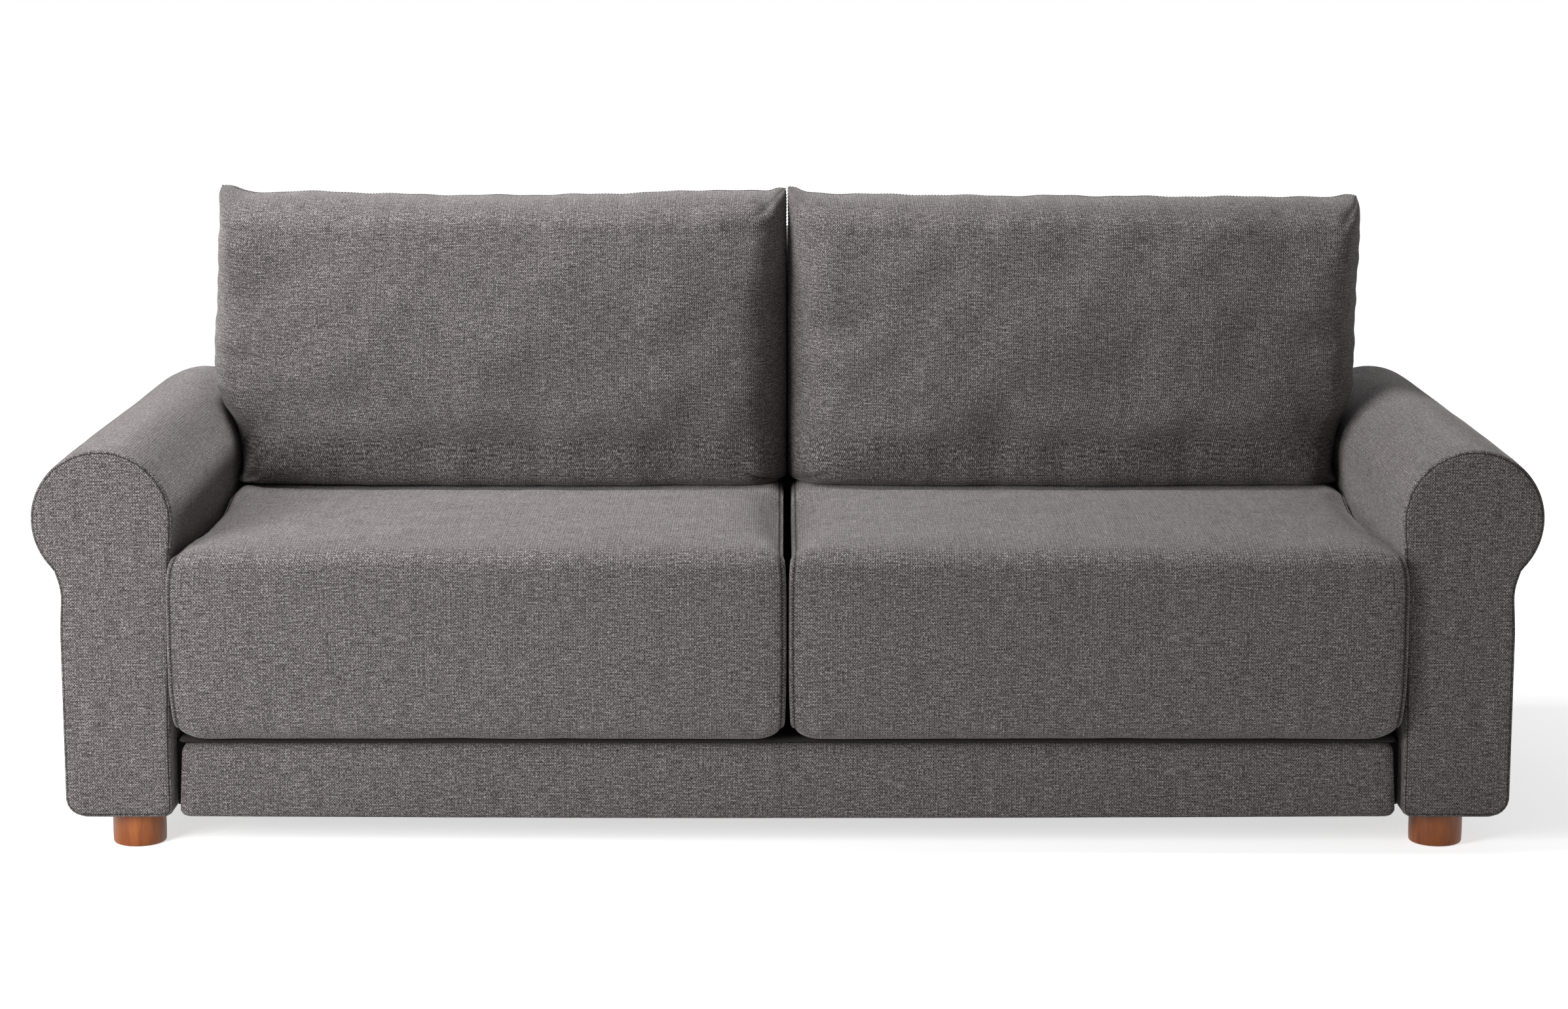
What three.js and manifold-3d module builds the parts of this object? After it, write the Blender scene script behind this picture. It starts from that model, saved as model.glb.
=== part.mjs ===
// A two-seat sofa with rolled arms and round wooden legs, built the way the real one is:
// upholstered plywood arms, a timber seat base with sinuous springs, a leaning back frame
// with webbing, and four loose cushions. Millimetres, +Z up, +X to the sofa's right as seen
// from the front, -Y to the front. The origin is on the floor, under the middle of the sofa.

import * as THREE from 'three';
import { mergeVertices } from 'three/addons/utils/BufferGeometryUtils.js';
import Module from 'manifold-3d';

const wasm = await Module();
wasm.setup();

// ---------------------------------------------------------------- driving dimensions

const sofaWidth = 2200; // over the two arm rolls
const sofaDepth = 960; // length of the arms, which set the depth
const clearance = 0.3; // between two pieces that touch
const arcStep = THREE.MathUtils.degToRad(16); // turn between two points of a rounded outline

const leg = {
  diameter: 78,
  height: 52,
  edgeRadius: 4,
  setback: 27, // from the arm's front or rear face to the leg
  inset: 30.5, // from the roll's centre line towards the seat
  boreFloor: 10, // wood left under the bolt's bore
  facets: 32,
};

const legBolt = { diameter: 10, washer: 24, washerThickness: 2.5, nut: 18, nutHeight: 8, tail: 8 };

const arm = {
  rollRadius: 103.5,
  rollHeight: 495, // the roll's centre above the floor
  outerReach: 66.5, // from the roll's centre to the outer face
  innerReach: 91.5, // from the roll's centre to the face beside the seat
  outerFillet: 45,
  innerFillet: 60,
  bottomCorner: 28,
  bottomLip: 8, // padding left under the boards at the rounded bottom corner
  edgeRadius: 8,
  padding: 12,
  board: 18,
  baseBoard: 24,
  panel: 6,
  ribHoleWidth: 64,
  ribHoleMargin: 50,
};

const rail = {
  bottom: 60,
  height: 90,
  thickness: 32,
  sideThickness: 45,
  cornerBlock: 60,
  coverFront: 8, // from the arms' front plane to the padded rail
  coverPadding: 10,
  armGap: 8, // from the padded rail's ends to the arms
  coverFlange: 15.7, // reach of the padding over the rail's top, clear of the spring clips
  coverEdge: 8,
};

const spring = {
  perBay: 4,
  wire: 4,
  width: 50,
  halfLoops: 13,
  stepsPerHalfLoop: 4,
  wireSides: 5,
  clipWidth: 26,
  clipLength: 20,
  clipHeight: 7,
  clipChamfer: 2,
};

const deckPad = { thickness: 9, armGap: 10, frontSetback: 12 };
const dustCloth = { thickness: 1, edgeMargin: 24 };
const armBolt = { diameter: 8, head: 18, headThickness: 5, nut: 14, nutHeight: 7, height: 105, fromEnd: 150 };

const seat = {
  armGap: 8.5, // from a cushion's outer side to the arm
  frontOverhang: 25, // in front of the arms
  height: 282,
  gapBetween: 3,
  frontTopRadius: 28,
  frontBottomRadius: 38,
  rearRadius: 28,
  sideEdge: 12,
};

const back = {
  top: 840,
  depthAtDeck: 215, // from the seat cushions' rear face to the rear of the arms
  lean: THREE.MathUtils.degToRad(8),
  padding: 12,
  sideGap: 0.5, // to the arm rolls
  topRadius: 30,
  board: 24,
  stileHoleMargin: 34,
  stileHoleRadius: 12,
  strap: 50,
  strapThickness: 3,
  strapColumns: 9,
  strapRows: 4,
};

const backCushion = {
  halfSpan: 930, // from the sofa's centre to the outer edge, above the arms
  top: 912,
  thickness: 240,
  gapBetween: 6,
  rollGap: 2,
  cornerRadius: 72,
  edgeRadius: 52,
};

const cover = { cloth: 3, zipHeight: 6, zipMargin: 110 };

// ---------------------------------------------------------------- sizes that follow

const rollX = sofaWidth / 2 - arm.rollRadius;
const armBottom = leg.height + clearance;
const armInnerX = rollX - arm.innerReach;
const boardInset = arm.padding + clearance;
const panelEnd = boardInset + arm.board + clearance; // where an arm's long pieces start
const railTop = rail.bottom + rail.height;
const railFront = rail.coverFront + rail.coverPadding + clearance;
const railBack = railFront + rail.thickness;
const sideRailX = armInnerX - clearance; // outer face of a side rail
const railCoverX = armInnerX - rail.armGap;
const deckPadX = armInnerX - deckPad.armGap;
const seatWidth = armInnerX - seat.armGap - seat.gapBetween / 2;
const seatRear = sofaDepth - back.depthAtDeck;
const coverTop = railTop + clearance + rail.coverPadding;
const coverBottom = rail.bottom - clearance - rail.coverPadding;
const deckBottom = coverTop + clearance;
const deckTop = deckBottom + deckPad.thickness;
const seatBottom = deckTop + clearance;
const seatTop = seatBottom + seat.height;
const backHalfWidth = rollX - arm.rollRadius - back.sideGap;
const backBottom = railTop + clearance;
const rearRailBack = sofaDepth - back.padding - clearance;
const rearRailFront = rearRailBack - rail.thickness;
const springRailFront = seatRear - rail.thickness;
const legPlaces = [leg.setback + leg.diameter / 2, sofaDepth - leg.setback - leg.diameter / 2];
const armBoltPlaces = [armBolt.fromEnd, sofaDepth - armBolt.fromEnd];

/** Depth of the back's front face at height z. */
const backFaceY = (z) => seatRear + clearance + (z - deckTop) * Math.tan(back.lean);
/** The same face moved inwards by a thickness measured square to it. */
const backInsideY = (z, inset) => backFaceY(z) + inset / Math.cos(back.lean);

// ---------------------------------------------------------------- materials

const finishes = {
  fabric: new THREE.MeshStandardMaterial({ color: 0x6f6969, roughness: 0.95, metalness: 0 }),
  foam: new THREE.MeshStandardMaterial({ color: 0xe6dfc8, roughness: 0.95, metalness: 0 }),
  lining: new THREE.MeshStandardMaterial({ color: 0x2b2929, roughness: 0.95, metalness: 0 }),
  legWood: new THREE.MeshStandardMaterial({ color: 0x8f5533, roughness: 0.45, metalness: 0 }),
  plywood: new THREE.MeshStandardMaterial({ color: 0xcaa877, roughness: 0.75, metalness: 0 }),
  timber: new THREE.MeshStandardMaterial({ color: 0xd6b583, roughness: 0.8, metalness: 0 }),
  hardboard: new THREE.MeshStandardMaterial({ color: 0x7a5a3c, roughness: 0.85, metalness: 0 }),
  webbing: new THREE.MeshStandardMaterial({ color: 0x8a7f6a, roughness: 0.95, metalness: 0 }),
  steel: new THREE.MeshStandardMaterial({ color: 0x9a9c9e, roughness: 0.4, metalness: 0.9 }),
};

/** A named mesh with a material of its own. */
function piece(name, geometry, finish) {
  const mesh = new THREE.Mesh(geometry, finish.clone());
  mesh.name = name;
  return mesh;
}

// ---------------------------------------------------------------- solids and outlines

/** A closed three.js geometry as a manifold solid. */
function solidOf(geometry) {
  const bare = geometry.clone();
  bare.deleteAttribute('normal');
  bare.deleteAttribute('uv');
  const merged = mergeVertices(bare, 1e-4);
  const mesh = new wasm.Mesh({
    numProp: 3,
    vertProperties: new Float32Array(merged.attributes.position.array),
    triVerts: new Uint32Array(merged.index.array),
  });
  return new wasm.Manifold(mesh);
}

/** A manifold solid as a three.js geometry. */
function geometryOf(solid) {
  const mesh = solid.getMesh();
  const geometry = new THREE.BufferGeometry();
  geometry.setAttribute('position', new THREE.BufferAttribute(mesh.vertProperties, 3));
  geometry.setIndex(new THREE.BufferAttribute(mesh.triVerts, 1));
  geometry.computeVertexNormals();
  return geometry;
}

/** The first geometry with each of the others cut away. */
function cut(body, ...tools) {
  const solid = tools.reduce((left, tool) => left.subtract(solidOf(tool)), solidOf(body));
  return geometryOf(solid);
}

/** All the geometries joined into one. */
function join(body, ...others) {
  const solid = others.reduce((whole, other) => whole.add(solidOf(other)), solidOf(body));
  return geometryOf(solid);
}

/** A box between two corners. */
function block(x0, x1, y0, y1, z0, z1) {
  const geometry = new THREE.BoxGeometry(x1 - x0, y1 - y0, z1 - z0);
  return geometry.translate((x0 + x1) / 2, (y0 + y1) / 2, (z0 + z1) / 2);
}

/** Points along a circular arc, both ends included. */
function arc(centreX, centreY, radius, from, to, step = arcStep) {
  const count = Math.max(1, Math.ceil(Math.abs(to - from) / step - 1e-6));
  return Array.from({ length: count + 1 }, (_, i) => {
    const angle = from + ((to - from) * i) / count;
    return new THREE.Vector2(centreX + radius * Math.cos(angle), centreY + radius * Math.sin(angle));
  });
}

/** A polygon given as [x, y, corner radius] triples, with its corners rounded. */
function roundedOutline(corners) {
  const points = corners.flatMap(([x, y, radius], i) => {
    const corner = new THREE.Vector2(x, y);
    if (!radius) {
      return [corner];
    }
    const before = new THREE.Vector2(...corners.at(i - 1)).sub(corner).normalize();
    const after = new THREE.Vector2(...corners[(i + 1) % corners.length]).sub(corner).normalize();
    const half = Math.acos(before.dot(after)) / 2;
    const centre = before.clone().add(after).setLength(radius / Math.sin(half)).add(corner);
    const start = corner.clone().addScaledVector(before, radius / Math.tan(half)).sub(centre).angle();
    const end = corner.clone().addScaledVector(after, radius / Math.tan(half)).sub(centre).angle();
    const sweep = THREE.MathUtils.euclideanModulo(end - start + Math.PI, 2 * Math.PI) - Math.PI;
    return arc(centre.x, centre.y, radius, start, start + sweep);
  });
  return new THREE.Shape(points);
}

/** A straight-sided or bevelled extrusion of a shape, along +Z. */
function extrude(shape, length, edge = 0) {
  const bevel = { bevelEnabled: edge > 0, bevelSize: edge, bevelThickness: edge, bevelSegments: 2 };
  const geometry = new THREE.ExtrudeGeometry(shape, { depth: length - 2 * edge, ...bevel, curveSegments: 6 });
  return geometry.translate(0, 0, edge);
}

/** A front outline (x, z) extruded from y0 to y1. */
function alongY(shape, y0, y1, edge = 0) {
  return extrude(shape, y1 - y0, edge).rotateX(Math.PI / 2).translate(0, y1, 0);
}

/** A side profile (y, z) extruded from x0 to x1. */
function alongX(shape, x0, x1, edge = 0) {
  const turn = new THREE.Matrix4().makeBasis(
    new THREE.Vector3(0, 1, 0),
    new THREE.Vector3(0, 0, 1),
    new THREE.Vector3(1, 0, 0),
  );
  return extrude(shape, x1 - x0, edge).applyMatrix4(turn).translate(x0, 0, 0);
}

/** A round bar along X, Y or Z from one end point. */
function bar(axis, radius, length, sides, x, y, z) {
  const geometry = new THREE.CylinderGeometry(radius, radius, length, sides);
  geometry.translate(0, length / 2, 0);
  if (axis === 'x') {
    geometry.rotateZ(-Math.PI / 2);
  }
  if (axis === 'z') {
    geometry.rotateX(Math.PI / 2);
  }
  return geometry.translate(x, y, z);
}

/** A round hole for a shape. */
function hole(x, y, radius) {
  return new THREE.Path().absarc(x, y, radius, 0, 2 * Math.PI, true);
}

// ---------------------------------------------------------------- arms

/** Where the hollow blend between the roll and a side face of the arm is centred. */
function neck(reach, fillet) {
  const x = reach + fillet;
  const drop = Math.sqrt((arm.rollRadius + fillet) ** 2 - x ** 2);
  return { x, z: arm.rollHeight - drop, angle: Math.atan2(-drop, x), fillet };
}

const outerNeck = neck(arm.outerReach, arm.outerFillet);
const innerNeck = neck(arm.innerReach, arm.innerFillet);

/** The arm's curve from the outer face over the roll to the inner face, moved inwards by inset. */
function rollCurve(inset) {
  const radius = arm.rollRadius - inset;
  return [
    ...arc(outerNeck.x, outerNeck.z, outerNeck.fillet + inset, Math.PI, outerNeck.angle + Math.PI),
    ...arc(0, arm.rollHeight, radius, outerNeck.angle, 0).slice(1),
    ...arc(0, arm.rollHeight, radius, 0, Math.PI).slice(1),
    ...arc(0, arm.rollHeight, radius, Math.PI, Math.PI - innerNeck.angle).slice(1),
    ...arc(-innerNeck.x, innerNeck.z, innerNeck.fillet + inset, -innerNeck.angle, 0).slice(1),
  ];
}

/** An arm's bottom edge from the inner to the outer face, with a rounded outer corner. */
function bottomCurve(inset, bottom, corner) {
  const inner = new THREE.Vector2(-(arm.innerReach - inset), bottom);
  const outerX = arm.outerReach - inset;
  if (!corner) {
    return [inner, new THREE.Vector2(outerX, bottom)];
  }
  return [inner, ...arc(outerX - corner, bottom + corner, corner, -Math.PI / 2, 0)];
}

/** Corner radius of the boards and of the hollow they fill. */
const innerCorner = (inset) => arm.bottomCorner + arm.bottomLip - inset;

/** A shape from points drawn for the right arm, mirrored for the left one. */
function sidedShape(points, side) {
  return new THREE.Shape(points.map((point) => new THREE.Vector2(point.x * side, point.y)));
}

/** The hollow for an arm's frame: it runs out through the bottom. */
function armHollow(side) {
  const below = armBottom - 4 * arm.padding;
  const curve = bottomCurve(arm.padding, armBottom, innerCorner(arm.padding));
  const drop = [new THREE.Vector2(curve[0].x, below), new THREE.Vector2(curve[1].x, below)];
  const shape = sidedShape([...drop, ...curve.slice(1), ...rollCurve(arm.padding)], side);
  return alongY(shape, arm.padding, sofaDepth - arm.padding);
}

/** Padding and cover of an arm, in one piece open at the bottom. */
function armUpholstery(side) {
  const bevelled = [
    ...bottomCurve(arm.edgeRadius, armBottom + arm.edgeRadius, arm.bottomCorner - arm.edgeRadius),
    ...rollCurve(arm.edgeRadius),
  ];
  const outside = alongY(sidedShape(bevelled, side), 0, sofaDepth, arm.edgeRadius);
  return cut(outside, armHollow(side), ...armBoltHoles(side));
}

/** Round cutters for the bolts that join the arm to the seat base. */
function armBoltHoles(side) {
  const radius = armBolt.diameter / 2 + clearance;
  const start = -side * arm.innerReach - arm.padding;
  return armBoltPlaces.map((y) => bar('x', radius, 2 * arm.padding, 12, start, y, armBolt.height));
}

/** A plywood end board with the arm's full outline. */
function armEndBoard(side, front) {
  const curve = bottomCurve(boardInset, armBottom, innerCorner(boardInset));
  return alongY(sidedShape([...curve, ...rollCurve(boardInset)], side), front, front + arm.board);
}

/** The middle rib, inside the panels, with a round-ended lightening hole. */
function armRib(side) {
  const inset = boardInset + arm.panel + clearance;
  const bottom = armBottom + arm.baseBoard + clearance;
  const shape = sidedShape([...bottomCurve(inset, bottom, 0), ...rollCurve(inset)], side);
  const middle = (side * (arm.outerReach - arm.innerReach)) / 2;
  const radius = arm.ribHoleWidth / 2;
  const lower = bottom + arm.ribHoleMargin + radius;
  const upper = outerNeck.z - arm.ribHoleMargin;
  const slot = [...arc(middle, lower, radius, Math.PI, 2 * Math.PI), ...arc(middle, upper, radius, 0, Math.PI)];
  shape.holes.push(new THREE.Path(slot));
  return alongY(shape, (sofaDepth - arm.board) / 2, (sofaDepth + arm.board) / 2);
}

/** The board between the end boards that the legs are bolted to. */
function armBaseBoard(side) {
  const inner = -side * (arm.innerReach - boardInset);
  const outer = side * (arm.outerReach - arm.bottomCorner - arm.bottomLip);
  const x0 = Math.min(inner, outer);
  const x1 = Math.max(inner, outer);
  const corners = [
    [x0, panelEnd, 0],
    [x1, panelEnd, 0],
    [x1, sofaDepth - panelEnd, 0],
    [x0, sofaDepth - panelEnd, 0],
  ];
  const shape = roundedOutline(corners);
  shape.holes.push(...legPlaces.map((y) => hole(-side * leg.inset, y, legBolt.diameter / 2 + clearance)));
  return extrude(shape, arm.baseBoard).translate(0, 0, armBottom);
}

/** The panel on the seat's side of an arm's frame, bored for the arm bolts. */
function armInnerPanel(side) {
  const bottom = armBottom + arm.baseBoard + clearance;
  const top = innerNeck.z - clearance;
  const shape = roundedOutline([
    [panelEnd, bottom, 0],
    [sofaDepth - panelEnd, bottom, 0],
    [sofaDepth - panelEnd, top, 0],
    [panelEnd, top, 0],
  ]);
  const radius = armBolt.diameter / 2 + clearance;
  shape.holes.push(...armBoltPlaces.map((y) => hole(y, armBolt.height, radius)));
  const face = -side * (arm.innerReach - boardInset);
  const inside = face + side * arm.panel;
  return alongX(shape, Math.min(face, inside), Math.max(face, inside));
}

/** The thin panel on the outer side of an arm's frame. */
function armOuterPanel(side) {
  const face = side * (arm.outerReach - boardInset);
  const inside = face - side * arm.panel;
  const bottom = armBottom + innerCorner(boardInset);
  const top = outerNeck.z - clearance;
  return block(Math.min(face, inside), Math.max(face, inside), panelEnd, sofaDepth - panelEnd, bottom, top);
}

/** The bent sheet over the ribs that gives the roll its shape. */
function armRollFormer(side) {
  const sheet = [...rollCurve(boardInset), ...rollCurve(boardInset + arm.panel).reverse()];
  return alongY(sidedShape(sheet, side), panelEnd, sofaDepth - panelEnd);
}

/** A turned leg with the bore for its bolt. */
function legGeometry() {
  const radius = leg.diameter / 2;
  const bore = legBolt.diameter / 2 + clearance;
  const edge = arc(radius - leg.edgeRadius, leg.edgeRadius, leg.edgeRadius, -Math.PI / 2, 0, Math.PI / 6);
  const profile = [
    new THREE.Vector2(0, 0),
    ...edge,
    new THREE.Vector2(radius, leg.height),
    new THREE.Vector2(bore, leg.height),
    new THREE.Vector2(bore, leg.boreFloor),
    new THREE.Vector2(0, leg.boreFloor),
  ];
  return new THREE.LatheGeometry(profile, leg.facets).rotateX(Math.PI / 2);
}

/** The bolt that stands in a leg and is nutted above the arm's base board. */
function legBoltGeometry() {
  const seatZ = armBottom + arm.baseBoard + clearance;
  const nutZ = seatZ + legBolt.washerThickness;
  const bottom = leg.boreFloor + clearance;
  const length = nutZ + legBolt.nutHeight + legBolt.tail - bottom;
  const shank = bar('z', legBolt.diameter / 2, length, 12, 0, 0, bottom);
  const washer = bar('z', legBolt.washer / 2, legBolt.washerThickness, 16, 0, 0, seatZ);
  const nut = bar('z', legBolt.nut / 2, legBolt.nutHeight, 6, 0, 0, nutZ);
  return join(shank, washer, nut);
}

/** A bolt through the arm's inner face and the side rail, head inside the arm. */
function armBoltGeometry(side) {
  const headX = -(arm.innerReach - boardInset - arm.panel) + clearance;
  const nutX = -(arm.innerReach + 2 * clearance + rail.sideThickness);
  const start = nutX - armBolt.nutHeight;
  const shank = bar('x', armBolt.diameter / 2, headX - start, 12, start, 0, 0);
  const head = bar('x', armBolt.head / 2, armBolt.headThickness, 12, headX, 0, 0);
  const nut = bar('x', armBolt.nut / 2, armBolt.nutHeight, 6, start, 0, 0);
  return join(shank, head, nut).rotateZ(side > 0 ? 0 : Math.PI);
}

/** One arm with its legs and bolts, drawn about the roll's centre line. */
function makeArm(side, word) {
  const group = new THREE.Group();
  group.position.x = side * rollX;
  group.add(
    piece(`${word}_arm_upholstery`, armUpholstery(side), finishes.fabric),
    piece(`${word}_arm_front_board`, armEndBoard(side, boardInset), finishes.plywood),
    piece(`${word}_arm_rear_board`, armEndBoard(side, sofaDepth - boardInset - arm.board), finishes.plywood),
    piece(`${word}_arm_rib`, armRib(side), finishes.plywood),
    piece(`${word}_arm_base_board`, armBaseBoard(side), finishes.plywood),
    piece(`${word}_arm_inner_panel`, armInnerPanel(side), finishes.plywood),
    piece(`${word}_arm_outer_panel`, armOuterPanel(side), finishes.hardboard),
    piece(`${word}_arm_roll_former`, armRollFormer(side), finishes.hardboard),
  );
  legPlaces.forEach((y, i) => {
    const place = `${['front', 'rear'][i]}_${word}`;
    const foot = piece(`${place}_leg`, legGeometry(), finishes.legWood);
    const bolt = piece(`${place}_leg_bolt`, legBoltGeometry(), finishes.steel);
    const fastener = piece(`${place}_arm_bolt`, armBoltGeometry(side), finishes.steel);
    foot.position.set(-side * leg.inset, y, 0);
    bolt.position.copy(foot.position);
    fastener.position.set(0, armBoltPlaces[i], armBolt.height);
    group.add(foot, bolt, fastener);
  });
  return group;
}

// ---------------------------------------------------------------- seat base

/** A side rail with glued corner blocks at both ends and the arm bolts' bores. */
function sideRail(side) {
  const front = railBack + clearance;
  const rear = rearRailFront - clearance;
  const outer = sideRailX;
  const inner = outer - rail.sideThickness;
  const shape = roundedOutline([
    [front, rail.bottom, 0],
    [rear, rail.bottom, 0],
    [rear, railTop, 0],
    [front, railTop, 0],
  ]);
  const radius = armBolt.diameter / 2 + clearance;
  shape.holes.push(...armBoltPlaces.map((y) => hole(y, armBolt.height, radius)));
  const blocks = [
    [front, 1],
    [rear, -1],
  ].map(([end, way]) => {
    const corner = new THREE.Shape([
      new THREE.Vector2(side * (inner + clearance), end),
      new THREE.Vector2(side * (inner + clearance), end + way * rail.cornerBlock),
      new THREE.Vector2(side * (inner - rail.cornerBlock), end),
    ]);
    return extrude(corner, rail.height).translate(0, 0, rail.bottom);
  });
  const beam = alongX(shape, Math.min(side * inner, side * outer), Math.max(side * inner, side * outer));
  return join(beam, ...blocks);
}

/** The notched middle rail and the spring rail that it crosses in a halving joint. */
function crossingRails() {
  const half = rail.thickness / 2;
  const middleZ = (rail.bottom + railTop) / 2;
  const reach = half + clearance;
  const inner = sideRailX - rail.sideThickness - clearance;
  const centre = block(-half, half, railBack + clearance, rearRailFront - clearance, rail.bottom, railTop);
  const across = block(-inner, inner, springRailFront, seatRear, rail.bottom, railTop);
  const fromTop = block(-rail.thickness, rail.thickness, springRailFront - clearance,
    seatRear + clearance, middleZ, railTop + half);
  const fromBelow = block(-reach, reach, springRailFront - half, seatRear + half,
    rail.bottom - half, middleZ + clearance);
  return { centre: cut(centre, fromTop), across: cut(across, fromBelow) };
}

/** The padded cover of the front rail: closed ends, open to the rear. */
function frontRailCover() {
  const wall = rail.coverPadding;
  const hollowX = railCoverX - wall;
  const outside = roundedOutline([
    [rail.coverFront, coverBottom, rail.coverEdge],
    [railBack, coverBottom, 0],
    [railBack, coverTop, 0],
    [rail.coverFront, coverTop, rail.coverEdge],
  ]);
  const hollow = block(-hollowX, hollowX, rail.coverFront + wall, railBack + wall,
    coverBottom + wall, coverTop - wall);
  const clipRoom = block(-hollowX, hollowX, rail.coverFront + rail.coverFlange, railBack + wall,
    railTop - wall, coverTop + wall);
  return cut(alongX(outside, -railCoverX, railCoverX), hollow, clipRoom);
}

/** The centre line of a sinuous spring: half loops with parallel sides, crowned upwards. */
class SinuousLine extends THREE.Curve {
  constructor(length, rise) {
    super();
    this.length = length;
    this.rise = rise;
  }

  getPoint(t, target = new THREE.Vector3()) {
    const turn = t * spring.halfLoops * Math.PI;
    const pitch = this.length / spring.halfLoops / Math.PI;
    const reach = (spring.width - spring.wire) / 2;
    return target.set(
      reach * Math.sin(turn),
      pitch * (turn - Math.sin(2 * turn) / 2),
      this.rise * Math.sin(t * Math.PI),
    );
  }
}

/** A sinuous spring from the front rail to the spring rail, with the clip at each end. */
function springGeometry() {
  const radius = spring.wire / 2;
  const start = (railFront + railBack) / 2;
  const length = springRailFront + rail.thickness / 2 - start;
  const wireZ = railTop + clearance + radius;
  const rise = deckBottom - clearance - radius - wireZ;
  const section = new THREE.Shape(
    Array.from({ length: spring.wireSides }, (_, i) => {
      const angle = (2 * Math.PI * i) / spring.wireSides;
      return new THREE.Vector2(radius * Math.cos(angle), radius * Math.sin(angle));
    }),
  );
  const wire = new THREE.ExtrudeGeometry(section, {
    extrudePath: new SinuousLine(length, rise),
    steps: spring.halfLoops * spring.stepsPerHalfLoop,
  });
  wire.translate(0, start, wireZ);
  const clipBottom = railTop + clearance;
  const clipTop = clipBottom + spring.clipHeight;
  const clips = [start, start + length].map((y) => {
    const half = spring.clipLength / 2;
    const top = half - spring.clipChamfer;
    const profile = roundedOutline([
      [y - half, clipBottom, 0],
      [y + half, clipBottom, 0],
      [y + half, clipTop - spring.clipChamfer, 0],
      [y + top, clipTop, 0],
      [y - top, clipTop, 0],
      [y - half, clipTop - spring.clipChamfer, 0],
    ]);
    return alongX(profile, -spring.clipWidth / 2, spring.clipWidth / 2);
  });
  return join(wire, ...clips);
}

/** Rails, springs, deck pad and dust cloth of the seat base. */
function makeSeatBase() {
  const group = new THREE.Group();
  const timberX = railCoverX - rail.coverPadding - clearance;
  const front = block(-timberX, timberX, railFront, railBack, rail.bottom, railTop);
  const rear = block(-backHalfWidth, backHalfWidth, rearRailFront, rearRailBack, rail.bottom, railTop);
  const { centre, across } = crossingRails();
  const padRear = backFaceY(deckBottom) - clearance;
  const pad = block(-deckPadX, deckPadX, deckPad.frontSetback, padRear, deckBottom, deckTop);
  const clothTop = rail.bottom - clearance;
  const clothX = sideRailX - dustCloth.edgeMargin;
  const cloth = block(-clothX, clothX, railBack + dustCloth.edgeMargin, rearRailBack - dustCloth.edgeMargin,
    clothTop - dustCloth.thickness, clothTop);
  group.add(
    piece('base_front_rail', front, finishes.timber),
    piece('base_rear_rail', rear, finishes.timber),
    piece('base_left_rail', sideRail(-1), finishes.timber),
    piece('base_right_rail', sideRail(1), finishes.timber),
    piece('base_centre_rail', centre, finishes.timber),
    piece('base_spring_rail', across, finishes.timber),
    piece('front_rail_upholstery', frontRailCover(), finishes.fabric),
    piece('seat_deck_pad', pad, finishes.lining),
    piece('bottom_cloth', cloth, finishes.lining),
  );
  const bayInner = rail.thickness / 2;
  const bayWidth = sideRailX - rail.sideThickness - bayInner;
  for (const [side, word] of [[-1, 'left'], [1, 'right']]) {
    for (let i = 0; i < spring.perBay; i += 1) {
      const wire = piece(`seat_spring_${word}_${i + 1}`, springGeometry(), finishes.steel);
      wire.position.x = side * (bayInner + (bayWidth * (i + 0.5)) / spring.perBay);
      group.add(wire);
    }
  }
  return group;
}

// ---------------------------------------------------------------- back

/** Side profile of the back between two heights, inset behind its leaning front face. */
function backProfile(bottom, top, frontInset, rear, frontRadius, rearRadius) {
  return roundedOutline([
    [backInsideY(bottom, frontInset), bottom, 0],
    [rear, bottom, 0],
    [rear, top, rearRadius],
    [backInsideY(top, frontInset), top, frontRadius],
  ]);
}

/** Padding and cover of the back, open at the bottom, with a flap over the base's rear rail. */
function backUpholstery() {
  const wall = back.padding;
  const rearInside = sofaDepth - wall;
  const outline = roundedOutline([
    [backFaceY(backBottom), backBottom, 0],
    [rearInside, backBottom, 0],
    [rearInside, armBottom, 0],
    [sofaDepth, armBottom, 0],
    [sofaDepth, back.top, back.topRadius],
    [backFaceY(back.top), back.top, back.topRadius],
  ]);
  const hollowTop = back.top - wall;
  const radius = back.topRadius - wall;
  const hollow = backProfile(backBottom - wall, hollowTop, wall, rearInside, radius, radius);
  const outside = alongX(outline, -backHalfWidth, backHalfWidth);
  return cut(outside, alongX(hollow, wall - backHalfWidth, backHalfWidth - wall));
}

/** The webbing of the back: straps up and across, stapled where they cross. */
function backWebbing(width, height) {
  const openX = (width - back.strapColumns * back.strap) / (back.strapColumns - 1);
  const openY = (height - back.strapRows * back.strap) / (back.strapRows - 1);
  const depth = back.strapThickness;
  const cells = [];
  for (let column = 0; column < back.strapColumns - 1; column += 1) {
    for (let row = 0; row < back.strapRows - 1; row += 1) {
      const x = -width / 2 + back.strap + column * (openX + back.strap);
      const y = back.strap + row * (openY + back.strap);
      cells.push(block(x, x + openX, y, y + openY, -depth, 2 * depth));
    }
  }
  return cut(block(-width / 2, width / 2, 0, height, 0, depth), ...cells);
}

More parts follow.
